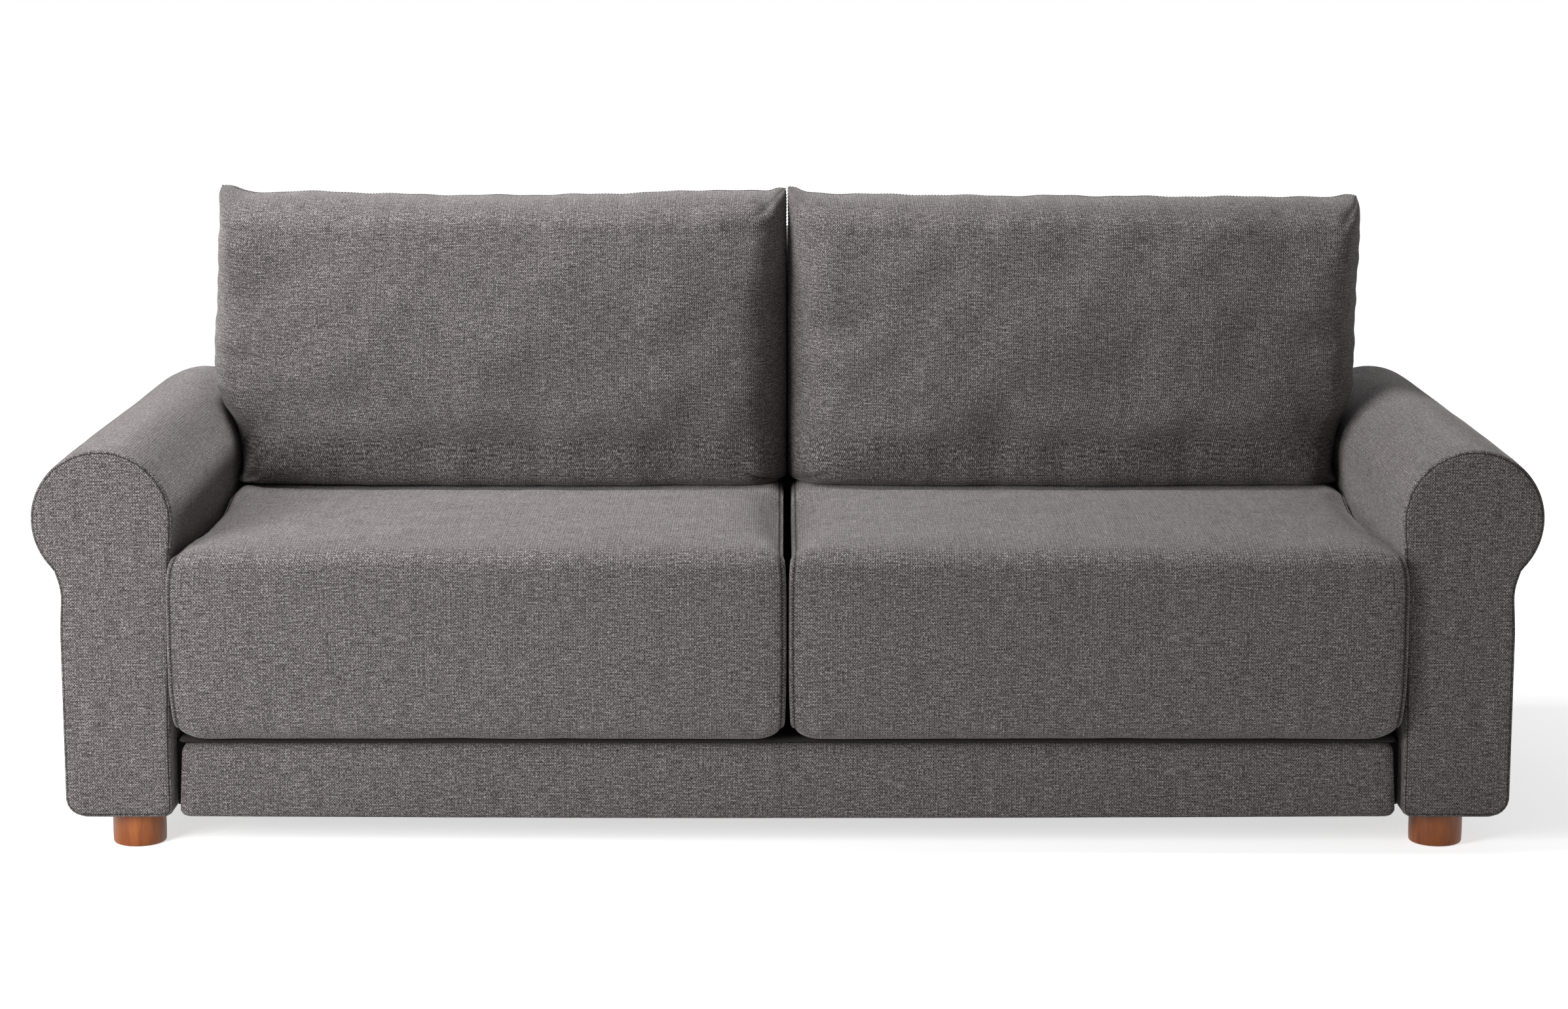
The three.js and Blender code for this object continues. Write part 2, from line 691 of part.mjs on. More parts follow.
/** The wedge-shaped back: boards, webbing and upholstery. */
function makeBack() {
  const group = new THREE.Group();
  const skin = back.padding + clearance;
  const frontInset = skin + back.strapThickness + clearance;
  const rear = sofaDepth - skin;
  const halfWidth = backHalfWidth - skin;
  const boardTop = backBottom + back.board;
  const railUnder = back.top - skin - back.board;
  const radius = back.topRadius - skin;
  const bottomBoard = backProfile(backBottom, boardTop, frontInset, rear, 0, 0);
  const topRail = backProfile(railUnder, back.top - skin, frontInset, rear, radius, radius);
  group.add(
    piece('back_upholstery', backUpholstery(), finishes.fabric),
    piece('back_bottom_board', alongX(bottomBoard, -halfWidth, halfWidth), finishes.plywood),
    piece('back_top_rail', alongX(topRail, -halfWidth, halfWidth), finishes.timber),
  );
  const margin = back.stileHoleMargin;
  const z0 = boardTop + clearance;
  const z1 = railUnder - clearance;
  const round = back.stileHoleRadius;
  const opening = backProfile(z0 + margin, z1 - margin, frontInset + margin, rear - margin, round, round);
  const places = [['left', -halfWidth], ['centre', -back.board / 2], ['right', halfWidth - back.board]];
  for (const [word, x] of places) {
    const shape = backProfile(z0, z1, frontInset, rear, 0, 0);
    shape.holes.push(new THREE.Path(opening.getPoints()));
    group.add(piece(`back_stile_${word}`, alongX(shape, x, x + back.board), finishes.plywood));
  }
  const slope = (back.top - skin - radius - backBottom) / Math.cos(back.lean);
  const straps = piece('back_webbing', backWebbing(2 * halfWidth, slope), finishes.webbing);
  const strapBack = back.padding + clearance + back.strapThickness;
  straps.rotation.x = Math.PI / 2 - back.lean;
  straps.position.set(0, backInsideY(backBottom, strapBack), backBottom);
  group.add(straps);
  return group;
}

// ---------------------------------------------------------------- cushions

/** A seat cushion's solid, moved inwards by inset on every side. */
function seatCushionSolid(inset) {
  const front = -seat.frontOverhang + inset;
  const rear = seatRear - inset;
  const bottom = seatBottom + inset;
  const top = seatTop - inset;
  const edge = seat.sideEdge - inset;
  const profile = roundedOutline([
    [front + edge, bottom + edge, seat.frontBottomRadius - seat.sideEdge],
    [rear - edge, bottom + edge, seat.rearRadius - seat.sideEdge],
    [rear - edge, top - edge, seat.rearRadius - seat.sideEdge],
    [front + edge, top - edge, seat.frontTopRadius - seat.sideEdge],
  ]);
  return alongX(profile, inset - seatWidth / 2, seatWidth / 2 - inset, edge);
}

/** One seat cushion: a zipped cover and its foam core. */
function makeSeatCushion(side, word) {
  const group = new THREE.Group();
  group.position.x = (side * (seat.gapBetween + seatWidth)) / 2;
  const zipX = seatWidth / 2 - cover.zipMargin;
  const zipZ = (seatBottom + seatTop) / 2;
  const zip = block(-zipX, zipX, seatRear - 2 * cover.cloth, seatRear + cover.cloth,
    zipZ - cover.zipHeight / 2, zipZ + cover.zipHeight / 2);
  const shell = cut(seatCushionSolid(0), seatCushionSolid(cover.cloth), zip);
  group.add(
    piece(`${word}_seat_cushion_cover`, shell, finishes.fabric),
    piece(`${word}_seat_cushion_core`, seatCushionSolid(cover.cloth + clearance), finishes.foam),
  );
  return group;
}

/** A back cushion's front outline for the right side: narrow between the rolls, wider above. */
function backCushionOutline(inset) {
  const inner = backCushion.gapBetween / 2 + inset;
  const outer = backCushion.halfSpan - inset;
  const top = backCushion.top - inset;
  const bottom = seatTop + clearance + inset;
  const radius = backCushion.cornerRadius - inset;
  const rollRadius = arm.rollRadius + backCushion.rollGap + inset;
  const { PI } = Math;
  const under = THREE.MathUtils.clamp((bottom - arm.rollHeight) / rollRadius, 0, 1);
  const over = Math.acos((outer - rollX) / rollRadius);
  return [
    ...arc(inner + radius, bottom + radius, radius, PI, 1.5 * PI),
    new THREE.Vector2(rollX - rollRadius * Math.cos(Math.asin(under)), bottom),
    ...arc(rollX, arm.rollHeight, rollRadius, PI - Math.asin(under), over),
    ...arc(outer - radius, top - radius, radius, 0, PI / 2),
    ...arc(inner + radius, top - radius, radius, PI / 2, PI),
  ];
}

/** A back cushion's solid, moved inwards by inset and leaning with the back. */
function backCushionSolid(side, inset) {
  const edge = backCushion.edgeRadius - inset;
  const shape = sidedShape(backCushionOutline(backCushion.edgeRadius), side);
  const rear = -inset;
  const front = inset - backCushion.thickness;
  const lean = new THREE.Matrix4();
  lean.elements[9] = Math.tan(back.lean); // y grows with z
  return alongY(shape, front, rear, edge).translate(0, 0, -seatTop).applyMatrix4(lean);
}

/** One back cushion: a zipped cover and its filling. */
function makeBackCushion(side, word) {
  const group = new THREE.Group();
  group.position.set(0, backFaceY(seatTop) - clearance / Math.cos(back.lean), seatTop);
  const middle = (side * backCushion.halfSpan) / 2;
  const zipX = backCushion.halfSpan / 2 - cover.zipMargin;
  const zipY = -backCushion.thickness / 2;
  const zip = block(middle - zipX, middle + zipX, zipY - cover.zipHeight / 2, zipY + cover.zipHeight / 2,
    -cover.cloth, 3 * cover.cloth);
  const shell = cut(backCushionSolid(side, 0), backCushionSolid(side, cover.cloth), zip);
  const filling = backCushionSolid(side, cover.cloth + clearance);
  group.add(
    piece(`${word}_back_cushion_cover`, shell, finishes.fabric),
    piece(`${word}_back_cushion_core`, filling, finishes.foam),
  );
  return group;
}

// ---------------------------------------------------------------- the sofa

const sofa = new THREE.Group();
sofa.position.y = -(sofaDepth - seat.frontOverhang) / 2;
sofa.add(makeSeatBase(), makeBack());
for (const [side, word] of [[-1, 'left'], [1, 'right']]) {
  sofa.add(makeArm(side, word), makeSeatCushion(side, word), makeBackCushion(side, word));
}

export default sofa;
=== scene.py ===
"""The looks of a two-seat sofa with rolled arms, in metres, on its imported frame.

Every upholstered piece is a sewn cover: panels with a UV map that runs along their threads, curled
into a seam where they meet, with a row of stitches along it. The loose cushions are blown up by
cloth simulation on a coarse copy of their panels, and the finished panels follow that copy.
"""

from __future__ import annotations

import logging
import math
from dataclasses import dataclass
from enum import Enum
from typing import Callable, NamedTuple, Sequence

import bmesh
import bpy
import numpy as np
from mathutils import Matrix, Vector, noise


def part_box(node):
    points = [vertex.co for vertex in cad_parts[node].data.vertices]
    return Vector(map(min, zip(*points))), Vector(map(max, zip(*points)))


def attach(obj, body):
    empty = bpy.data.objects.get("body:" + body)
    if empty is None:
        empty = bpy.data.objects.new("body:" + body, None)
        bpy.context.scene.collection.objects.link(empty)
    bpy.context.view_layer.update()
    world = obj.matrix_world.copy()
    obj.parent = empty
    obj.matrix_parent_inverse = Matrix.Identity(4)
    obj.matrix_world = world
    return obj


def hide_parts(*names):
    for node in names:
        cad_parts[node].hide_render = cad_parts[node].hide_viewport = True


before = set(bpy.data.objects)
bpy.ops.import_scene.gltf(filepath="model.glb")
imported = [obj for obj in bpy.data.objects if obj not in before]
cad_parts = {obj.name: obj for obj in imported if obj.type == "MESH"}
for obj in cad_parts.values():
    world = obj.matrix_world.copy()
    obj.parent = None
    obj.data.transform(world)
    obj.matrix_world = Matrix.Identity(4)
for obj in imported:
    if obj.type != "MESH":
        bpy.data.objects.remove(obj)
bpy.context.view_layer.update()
LOG = logging.getLogger("sofa")

Array = np.ndarray
Material = bpy.types.Material
Tree = bpy.types.NodeTree
Socket = bpy.types.NodeSocket
Place = Callable[[Array, Array, Array], Array]


class Side(Enum):
    """The two halves of the sofa, as seen from the front."""

    LEFT = -1
    RIGHT = 1

    @property
    def word(self) -> str:
        """The side's name as the nodes spell it."""
        return self.name.lower()


class Warp(Enum):
    """Which way the warp threads of a sleeve run."""

    ALONG = "along the sleeve"
    AROUND = "around the sleeve"


# ------------------------------------------------------------------ finishes


def linear(hex_colour: str) -> tuple[float, float, float, float]:
    """Turn an sRGB hex colour into the linear colour that shaders take.

    Args:
        hex_colour: six hex digits.

    Returns:
        Linear red, green, blue and an alpha of one.
    """
    parts = [int(hex_colour[i:i + 2], 16) / 255 for i in (0, 2, 4)]
    red, green, blue = (c / 12.92 if c <= 0.04045 else ((c + 0.055) / 1.055) ** 2.4 for c in parts)
    return red, green, blue, 1.0


def add(tree: Tree, kind: str, inputs: dict | None = None, stops: Sequence[tuple[float, str]] = (),
        **settings: object) -> bpy.types.Node:
    """Add a node with its settings, values and links.

    Args:
        tree: the node tree.
        kind: the node's bl_idname.
        inputs: socket name or number to a value, or to the output socket that feeds it.
        stops: position and hex colour of each stop, in order, where the node has a ramp.
        settings: attributes of the node.

    Returns:
        The new node.
    """
    node = tree.nodes.new(kind)
    for name, value in settings.items():
        setattr(node, name, value)
    for key, value in (inputs or {}).items():
        if isinstance(value, Socket):
            tree.links.new(value, node.inputs[key])
        else:
            node.inputs[key].default_value = value
    for number, (place, colour) in enumerate(stops):
        band = node.color_ramp.elements
        element = band[number] if number < len(band) else band.new(1.0)
        element.position = place
        element.color = linear(colour)
    return node


def bare_material(name: str) -> tuple[Material, Tree]:
    """Make an empty node material.

    Args:
        name: the material's name.

    Returns:
        The material and its tree.
    """
    material = bpy.data.materials.new(name)
    material.use_nodes = True
    material.node_tree.nodes.clear()
    return material, material.node_tree


class Streaks(NamedTuple):
    """One kind of streak in a cloth: its reach along the weft and the warp, its shift and its weight."""

    weft: float
    warp: float
    shift: float
    weight: float


@dataclass(frozen=True)
class Finish:
    """A finish that one surface shader gives."""

    name: str

    def build(self) -> Material:
        """Make the finish's material.

        Returns:
            The material.
        """
        material, tree = bare_material(self.name)
        shader = add(tree, "ShaderNodeBsdfPrincipled", self.surface(tree))
        add(tree, "ShaderNodeOutputMaterial", {"Surface": shader.outputs[0]})
        return material

    def surface(self, tree: Tree) -> dict[str, object]:
        """Work out the inputs of the surface shader, which each kind of finish does its own way."""
        raise NotImplementedError


@dataclass(frozen=True)
class Hopsack(Finish):
    """Hopsack upholstery cloth, woven from a slubby pale weft and a dark warp.

    The two yarns show as a fine checker with thicker pale slubs along the weft, and the warp stands
    out as ribs where the light grazes it. It is matt, and its loose fibres show as a pale bloom where
    it turns away. The real checker repeats every 2.9 by 3.7 mm, which is too fine to show on a whole
    sofa, so it is drawn about a fifth coarser, and the flecks of single threads are 3.5 mm long.
    """

    name: str = "hopsack_cloth"
    tones: tuple[str, str, str] = ("2b2727", "696363", "b2adad")
    # Painted shade along the seams: the near black that the cloth is darkened towards there.
    gap: str = "120f0f"
    bloom: tuple[str, str, str] = ("686464", "989494", "ece8e8")
    stops: tuple[float, float, float] = (0.08, 0.55, 0.98)
    warp_pitch: float = 0.0036
    weft_pitch: float = 0.0044
    checker: float = 0.26
    rib: float = 0.05
    bends_per_metre: float = 30.0
    bend: float = 0.003
    relief: float = 0.0007
    slubs: Streaks = Streaks(0.022, 0.0024, 3.0, 0.62)
    flecks: Streaks = Streaks(0.0035, 0.0024, 11.0, 1.22)
    ends: Streaks = Streaks(0.0024, 0.060, 7.0, 0.22)
    bars: Streaks = Streaks(0.30, 0.012, 17.0, 0.08)
    stripes: Streaks = Streaks(0.016, 0.50, 23.0, 0.06)

    def surface(self, tree: Tree) -> dict[str, object]:
        """Weave the cloth on the UV map, which is in metres along the threads.

        Args:
            tree: the material's node tree.

        Returns:
            The shader's inputs.
        """
        uv = add(tree, "ShaderNodeUVMap", uv_map="threads").outputs[0]
        bends = {"Vector": uv, "Scale": self.bends_per_metre, "Detail": 2.0}
        wobble = add(tree, "ShaderNodeTexNoise", bends)
        centred = add(tree, "ShaderNodeVectorMath", {0: wobble.outputs["Color"], 1: (0.5, 0.5, 0.5)},
                      operation="SUBTRACT")
        drift = add(tree, "ShaderNodeVectorMath", {0: centred.outputs[0], "Scale": self.bend},
                    operation="SCALE")
        threads = add(tree, "ShaderNodeVectorMath", {0: uv, 1: drift.outputs[0]}, operation="ADD")
        split = add(tree, "ShaderNodeSeparateXYZ", {0: threads.outputs[0]})
        warp = self._wave(tree, split.outputs[0], self.warp_pitch)
        weft = self._wave(tree, split.outputs[1], self.weft_pitch)
        checker = add(tree, "ShaderNodeMath", {0: warp, 1: weft}, operation="MULTIPLY").outputs[0]
        kinds = (self.slubs, self.flecks, self.ends, self.bars, self.stripes)
        noises = [(self._noise(tree, uv, kind), kind.weight) for kind in kinds]
        middle = 0.5 - 0.5 * sum(kind.weight for kind in kinds)
        tone = self._sum(tree, (*noises, (checker, self.checker), (warp, self.rib)), middle)
        tones, blooms = (tuple(zip(self.stops, colours)) for colours in (self.tones, self.bloom))
        colour = add(tree, "ShaderNodeValToRGB", {"Fac": tone}, tones).outputs[0]
        sheen = add(tree, "ShaderNodeValToRGB", {"Fac": tone}, blooms).outputs[0]
        # The seam attribute darkens the cloth towards that near black, as painted shade in the seam grooves.
        seam = add(tree, "ShaderNodeAttribute", attribute_name="seam", attribute_type="GEOMETRY")
        sunk = add(tree, "ShaderNodeMix", {0: seam.outputs["Fac"], 6: colour, 7: linear(self.gap)},
                   data_type="RGBA")
        (slubs, _), (flecks, _) = noises[:2]
        height = self._sum(tree, ((checker, 0.30), (warp, 0.45), (flecks, 0.8), (slubs, 0.8)), 0.0)
        bump = add(tree, "ShaderNodeBump", {"Height": height, "Strength": 0.6, "Distance": self.relief})
        return {
            "Base Color": sunk.outputs[2], "Roughness": 0.9, "IOR": 1.45, "Specular IOR Level": 0.2,
            "Sheen Weight": 1.0, "Sheen Roughness": 0.32, "Sheen Tint": sheen, "Normal": bump.outputs[0],
        }

    @staticmethod
    def _wave(tree: Tree, coordinate: Socket, pitch: float) -> Socket:
        """A sine of a coordinate, from -1 to 1, that repeats every pitch."""
        turn = add(tree, "ShaderNodeMath", {0: coordinate, 1: 2 * math.pi / pitch}, operation="MULTIPLY")
        return add(tree, "ShaderNodeMath", {0: turn.outputs[0]}, operation="SINE").outputs[0]

    @staticmethod
    def _noise(tree: Tree, uv: Socket, kind: Streaks) -> Socket:
        """Noise drawn out along one set of threads.

        Args:
            tree: the node tree.
            uv: the thread coordinates.
            kind: the streaks' size, and the shift that tells them from others.

        Returns:
            A value around one half.
        """
        spread = add(tree, "ShaderNodeMapping", {"Vector": uv, "Location": (kind.shift,) * 3,
                                                 "Scale": (1 / kind.weft, 1 / kind.warp, 1)})
        streak = add(tree, "ShaderNodeTexNoise", {"Vector": spread.outputs[0], "Scale": 1.0, "Detail": 1.0})
        return streak.outputs["Fac"]

    @staticmethod
    def _sum(tree: Tree, terms: Sequence[tuple[Socket, float]], start: float) -> Socket:
        """The weighted sum of several values.

        Args:
            tree: the node tree.
            terms: values and their weights.
            start: what the sum starts from.

        Returns:
            The sum.
        """
        total: float | Socket = start
        for value, weight in terms:
            step = add(tree, "ShaderNodeMath", {0: value, 1: weight, 2: total}, operation="MULTIPLY_ADD")
            total = step.outputs[0]
        return total


@dataclass(frozen=True)
class Wood(Finish):
    """Wood with a long grain and fine pores: planed, turned or sliced for plywood.

    Raw it stays matt; stained and varnished it has a satin gloss over a warmer colour. The bands of
    the grain lie 9 to 22 mm apart, and the pores six times as close.
    """

    light: str
    deep: str
    roughness: float
    stretch: tuple[float, float, float]
    bands_per_metre: float
    coat: float = 0.0

    def surface(self, tree: Tree) -> dict[str, object]:
        """Grow the grain on Object coordinates.

        Args:
            tree: the material's node tree.

        Returns:
            The shader's inputs.
        """
        place = add(tree, "ShaderNodeTexCoord").outputs["Object"]
        run = add(tree, "ShaderNodeMapping", {"Vector": place, "Scale": self.stretch}).outputs[0]
        scale = self.bands_per_metre
        bands = add(tree, "ShaderNodeTexNoise", {"Vector": run, "Scale": scale, "Detail": 5.0,
                                                 "Roughness": 0.62, "Distortion": 0.5})
        pores = add(tree, "ShaderNodeTexNoise", {"Vector": run, "Scale": scale * 6,
                                                 "Detail": 2.0}).outputs["Fac"]
        colour = add(tree, "ShaderNodeValToRGB", {"Fac": bands.outputs["Fac"]},
                     ((0.30, self.deep), (0.70, self.light))).outputs[0]
        dotted = add(tree, "ShaderNodeMix", {0: 0.25, 6: colour, 7: pores},
                     data_type="RGBA", blend_type="SOFT_LIGHT")
        bump = add(tree, "ShaderNodeBump", {"Height": pores, "Strength": 0.12, "Distance": 0.0004})
        return {
            "Base Color": dotted.outputs[2], "Roughness": self.roughness, "IOR": 1.5,
            "Coat Weight": self.coat, "Coat Roughness": 0.25, "Normal": bump.outputs[0],
        }


@dataclass(frozen=True)
class Felted(Finish):
    """A matt stuff with a fine even grain: cut foam, felted lining, pressed board, strap or thread.

    The real cells and fibres are mostly under half a millimetre, which is too fine to show, so the
    specks are drawn 0.7 to 2 mm wide.
    """

    colour: str
    shade: str
    grains_per_metre: float
    roughness: float = 0.95

    def surface(self, tree: Tree) -> dict[str, object]:
        """Speckle the stuff on Object coordinates.

        Args:
            tree: the material's node tree.

        Returns:
            The shader's inputs.
        """
        place = add(tree, "ShaderNodeTexCoord").outputs["Object"]
        grain = {"Vector": place, "Scale": self.grains_per_metre, "Detail": 3.0}
        speck = add(tree, "ShaderNodeTexNoise", grain).outputs["Fac"]
        colour = add(tree, "ShaderNodeValToRGB", {"Fac": speck}, ((0.3, self.shade), (0.7, self.colour)))
        bump = add(tree, "ShaderNodeBump", {"Height": speck, "Strength": 0.3, "Distance": 0.0005})
        return {
            "Base Color": colour.outputs[0], "Roughness": self.roughness, "Specular IOR Level": 0.3,
            "Normal": bump.outputs[0],
        }


@dataclass(frozen=True)
class Steel(Finish):
    """Drawn spring wire or zinc-plated fasteners: metal with streaks 3 mm wide in its gloss."""

    colour: str
    roughness: float
    streaks_per_metre: float = 300.0

    def surface(self, tree: Tree) -> dict[str, object]:
        """Streak the metal's gloss on Object coordinates.

        Args:
            tree: the material's node tree.

        Returns:
            The shader's inputs.
        """
        place = add(tree, "ShaderNodeTexCoord").outputs["Object"]
        draw_marks = {"Vector": place, "Scale": self.streaks_per_metre, "Detail": 2.0}
        streak = add(tree, "ShaderNodeTexNoise", draw_marks).outputs["Fac"]
        gloss = add(tree, "ShaderNodeMapRange", {"Value": streak, "To Min": self.roughness - 0.08,
                                                 "To Max": self.roughness + 0.1})
        return {"Base Color": linear(self.colour), "Metallic": 1.0, "Roughness": gloss.outputs[0]}


class Finishes:
    """All the finishes of the sofa, each built once, by the record's slot names."""

    def __init__(self) -> None:
        """Build every material."""
        kinds = {
            # Grey-brown, matt and finely mottled.
            "woven_fabric": Hopsack(),
            # Turned beech, stained and varnished: a warm brown with a close grain and a soft gloss.
            "leg_wood": Wood("stained_beech", "ae6226", "823d10", 0.42, (1.0, 1.0, 0.10), 110.0, 0.06),
            # Sliced birch and sawn pine, raw: pale, matt, with the grain along the board.
            "plywood": Wood("birch_plywood", "d9bb8c", "c39f6b", 0.75, (1.0, 0.08, 1.0), 60.0),
            "timber": Wood("sawn_pine", "e0c391", "c79f63", 0.80, (0.08, 1.0, 1.0), 45.0),
            # Pressed wood fibre: brown, with a dull shine.
            "hardboard": Felted("pressed_hardboard", "80603f", "6b4e32", 500.0, 0.8),
            # Cut polyurethane foam: cream, matt and porous.
            "foam": Felted("cut_foam", "ece4cc", "d8cfb4", 900.0),
            # Spun polypropylene lining: near black, dull and slightly furred.
            "lining_cloth": Felted("felted_lining", "34302f", "242121", 700.0),
            # Woven jute strap: a dull sandy brown.
            "webbing": Felted("woven_strap", "968a72", "766b57", 450.0),
            # Drawn steel, which is darker and duller than zinc plating.
            "spring_wire": Steel("drawn_spring_wire", "8e9092", 0.38),
            "zinc_steel": Steel("zinc_plated_steel", "b4b6b8", 0.32),
        }
        self.slots = {slot: kind.build() for slot, kind in kinds.items()}
        # Waxed polyester thread: darker than the cloth, so that a row reads as fine dots.
        self.thread = Felted("sewing_thread", "2b2625", "171414", 1500.0).build()

    @property
    def cloth(self) -> Material:
        """The upholstery cloth."""
        return self.slots["woven_fabric"]

    def dress_nodes(self) -> None:
        """Give every CAD node the finish that its material slot names."""
        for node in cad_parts.values():
            for slot in node.material_slots:
                slot.material = self.slots[slot.material.name.split(".")[0]]


# ------------------------------------------------------------------ outlines and panels


FINE_CELL = 0.015  # cells below this size belong to a finished panel, larger ones to its coarse copy


def even(start: float, end: float, step: float) -> Array:
    """Even places from start to end, about a step apart."""
    return np.linspace(start, end, max(2, int(round(abs(end - start) / step)) + 1))


def rise(value: Array, low: float, high: float) -> Array:
    """0 below low, 1 above high and a smooth rise between."""
    share = np.clip((value - low) / (high - low), 0, 1)
    return share * share * (3 - 2 * share)


def ripple(points: Array, size: float, seed: float, layers: int = 2) -> Array:
    """Smooth noise at each point, about -1 to 1.

    Args:
        points: an array whose last axis is x, y, z in metres.
        size: size of a ripple in metres.
        seed: shifts the noise, so that no two pieces match.
        layers: how many finer layers are added.

    Returns:
        One value for each point.
    """
    flat = (points.reshape(-1, 3) / size + seed).tolist()
    values = [noise.fractal(Vector(place), 0.7, 2.1, layers) for place in flat]
    return np.array(values).reshape(points.shape[:-1])


def smoothed(values: Array, passes: int = 1) -> Array:
    """Values with the short waves along their first axis smoothed out.

    Args:
        values: the values, whose first and last row stay.
        passes: how many times each row is blended with its neighbours.

    Returns:
        The smoothed copy.
    """
    line = values.copy()
    for _ in range(passes):
        line[1:-1] = (line[:-2] + 2 * line[1:-1] + line[2:]) / 4
    return line


def rounded(corners: Sequence[tuple[float, float, float]]) -> Array:
    """A closed polygon with rounded corners.

    Args:
        corners: a, b and radius of each corner. The edge that ends at the first corner holds the start.

    Returns:
        Points from halfway along that edge, once round.
    """
    spots = np.array([corner[:2] for corner in corners], float)
    path = [(spots[-1] + spots[0]) / 2]
    for number, corner in enumerate(corners):
        here, radius = spots[number], corner[2]
        if radius <= 0:
            path.append(here)
            continue
        back, ahead = spots[number - 1] - here, spots[(number + 1) % len(corners)] - here
        back, ahead = back / np.linalg.norm(back), ahead / np.linalg.norm(ahead)
        half = math.acos(float(np.clip(back @ ahead, -1, 1))) / 2
        middle = back + ahead
        centre = here + middle / np.linalg.norm(middle) * radius / math.sin(half)
        first = here + back * radius / math.tan(half) - centre
        last = here + ahead * radius / math.tan(half) - centre
        start = math.atan2(first[1], first[0])
        sweep = (math.atan2(last[1], last[0]) - start + math.pi) % (2 * math.pi) - math.pi
        for turn in start + sweep * np.linspace(0, 1, 12):
            path.append(centre + radius * np.array([math.cos(turn), math.sin(turn)]))
    return np.array(path)


@dataclass
class Outline:
    """A closed outline, evenly spaced, with its outward normals and the length along it."""

    points: Array
    normals: Array
    lengths: Array

    @classmethod
    def through(cls, path: Array, step: float) -> Outline:
        """Space a closed path evenly.

        Args:
            path: dense points of the outline, once round.
            step: distance between two points.

        Returns:
            The outline, whose last point is its first one.
        """
        closed = np.concatenate([path, path[:1]])
        run = np.concatenate([[0], np.cumsum(np.linalg.norm(np.diff(closed, axis=0), axis=1))])
        count = 2 * int(round(run[-1] / step / 2))
        lengths = np.linspace(0, run[-1], count + 1)
        points = np.stack([np.interp(lengths, run, closed[:, k]) for k in (0, 1)], 1)
        points[-1] = points[0]
        ahead = np.roll(points[:-1], -1, 0) - np.roll(points[:-1], 1, 0)
        normals = np.stack([ahead[:, 1], -ahead[:, 0]], 1)
        area = np.sum(points[:-1, 0] * ahead[:, 1] - points[:-1, 1] * ahead[:, 0])
        normals *= np.sign(area) / np.linalg.norm(normals, axis=1, keepdims=True)
        return cls(points, np.concatenate([normals, normals[:1]]), lengths)

    def inset(self, amount: Array | float) -> Array:
        """The outline moved inwards by an amount, which may differ from point to point."""
        return self.points - self.normals * np.broadcast_to(amount, self.lengths.shape)[:, None]

    def spine(self, ring: Array, axis: int, trim: float) -> Array:
        """The middle line of a ring, to which an end panel closes.

        Args:
            ring: a moved copy of the outline, which starts halfway along one end.
            axis: 0 or 1, the direction in which the outline is long.
            trim: how far the line ends before the outline does.

        Returns:
            For each point of the ring, its place on the line.
        """
        middle = (ring + ring[::-1]) / 2
        half = middle[:len(middle) // 2 + 1]
        order = np.argsort(half[:, axis])
        low, high = half[:, axis].min() + trim, half[:, axis].max() - trim
        along = np.clip(middle[:, axis], low, high)
        across = np.interp(along, half[order, axis], half[order, 1 - axis])
        return np.stack([along, across] if axis == 0 else [across, along], 1)


@dataclass
class Panel:
    """One sewn panel as a grid.

    It holds its points, their places on the cloth's UV map, how much painted shade each gets from a
    seam, the rows' and columns' own scales, by which a coarse copy matches a fine one, and its
    resting places, by which panels are welded.
    """

    points: Array
    threads: Array
    seam: Array
    rows: Array
    columns: Array
    rest: Array

    def bent(self, shape: Callable[[Array], Array]) -> Panel:
        """The same panel with its points moved by a function."""
        return Panel(shape(self.points), self.threads, self.seam, self.rows, self.columns, self.rest)


@dataclass(frozen=True)
class SewnEnd:
    """How a sleeve curls into the seam round its end, and how the end panel stands out of it.

    The curl is the sleeve's length that turns in, the drop its depth on each side (+a, +b, -a, -b),
    the bulge the end panel's height over the seam, and the swell the width over which it rises.
    """

    curl: float
    drop: tuple[float, float, float, float]
    bulge: float
    swell: float

    def drops(self, normals: Array) -> Array:
        """How far the seam lies inside the outline, by where the outline faces: +a, +b, -a, -b."""
        sides = np.stack([normals[:, 0], normals[:, 1], -normals[:, 0], -normals[:, 1]], 1)
        return (np.maximum(sides, 0) ** 2) @ np.array(self.drop)


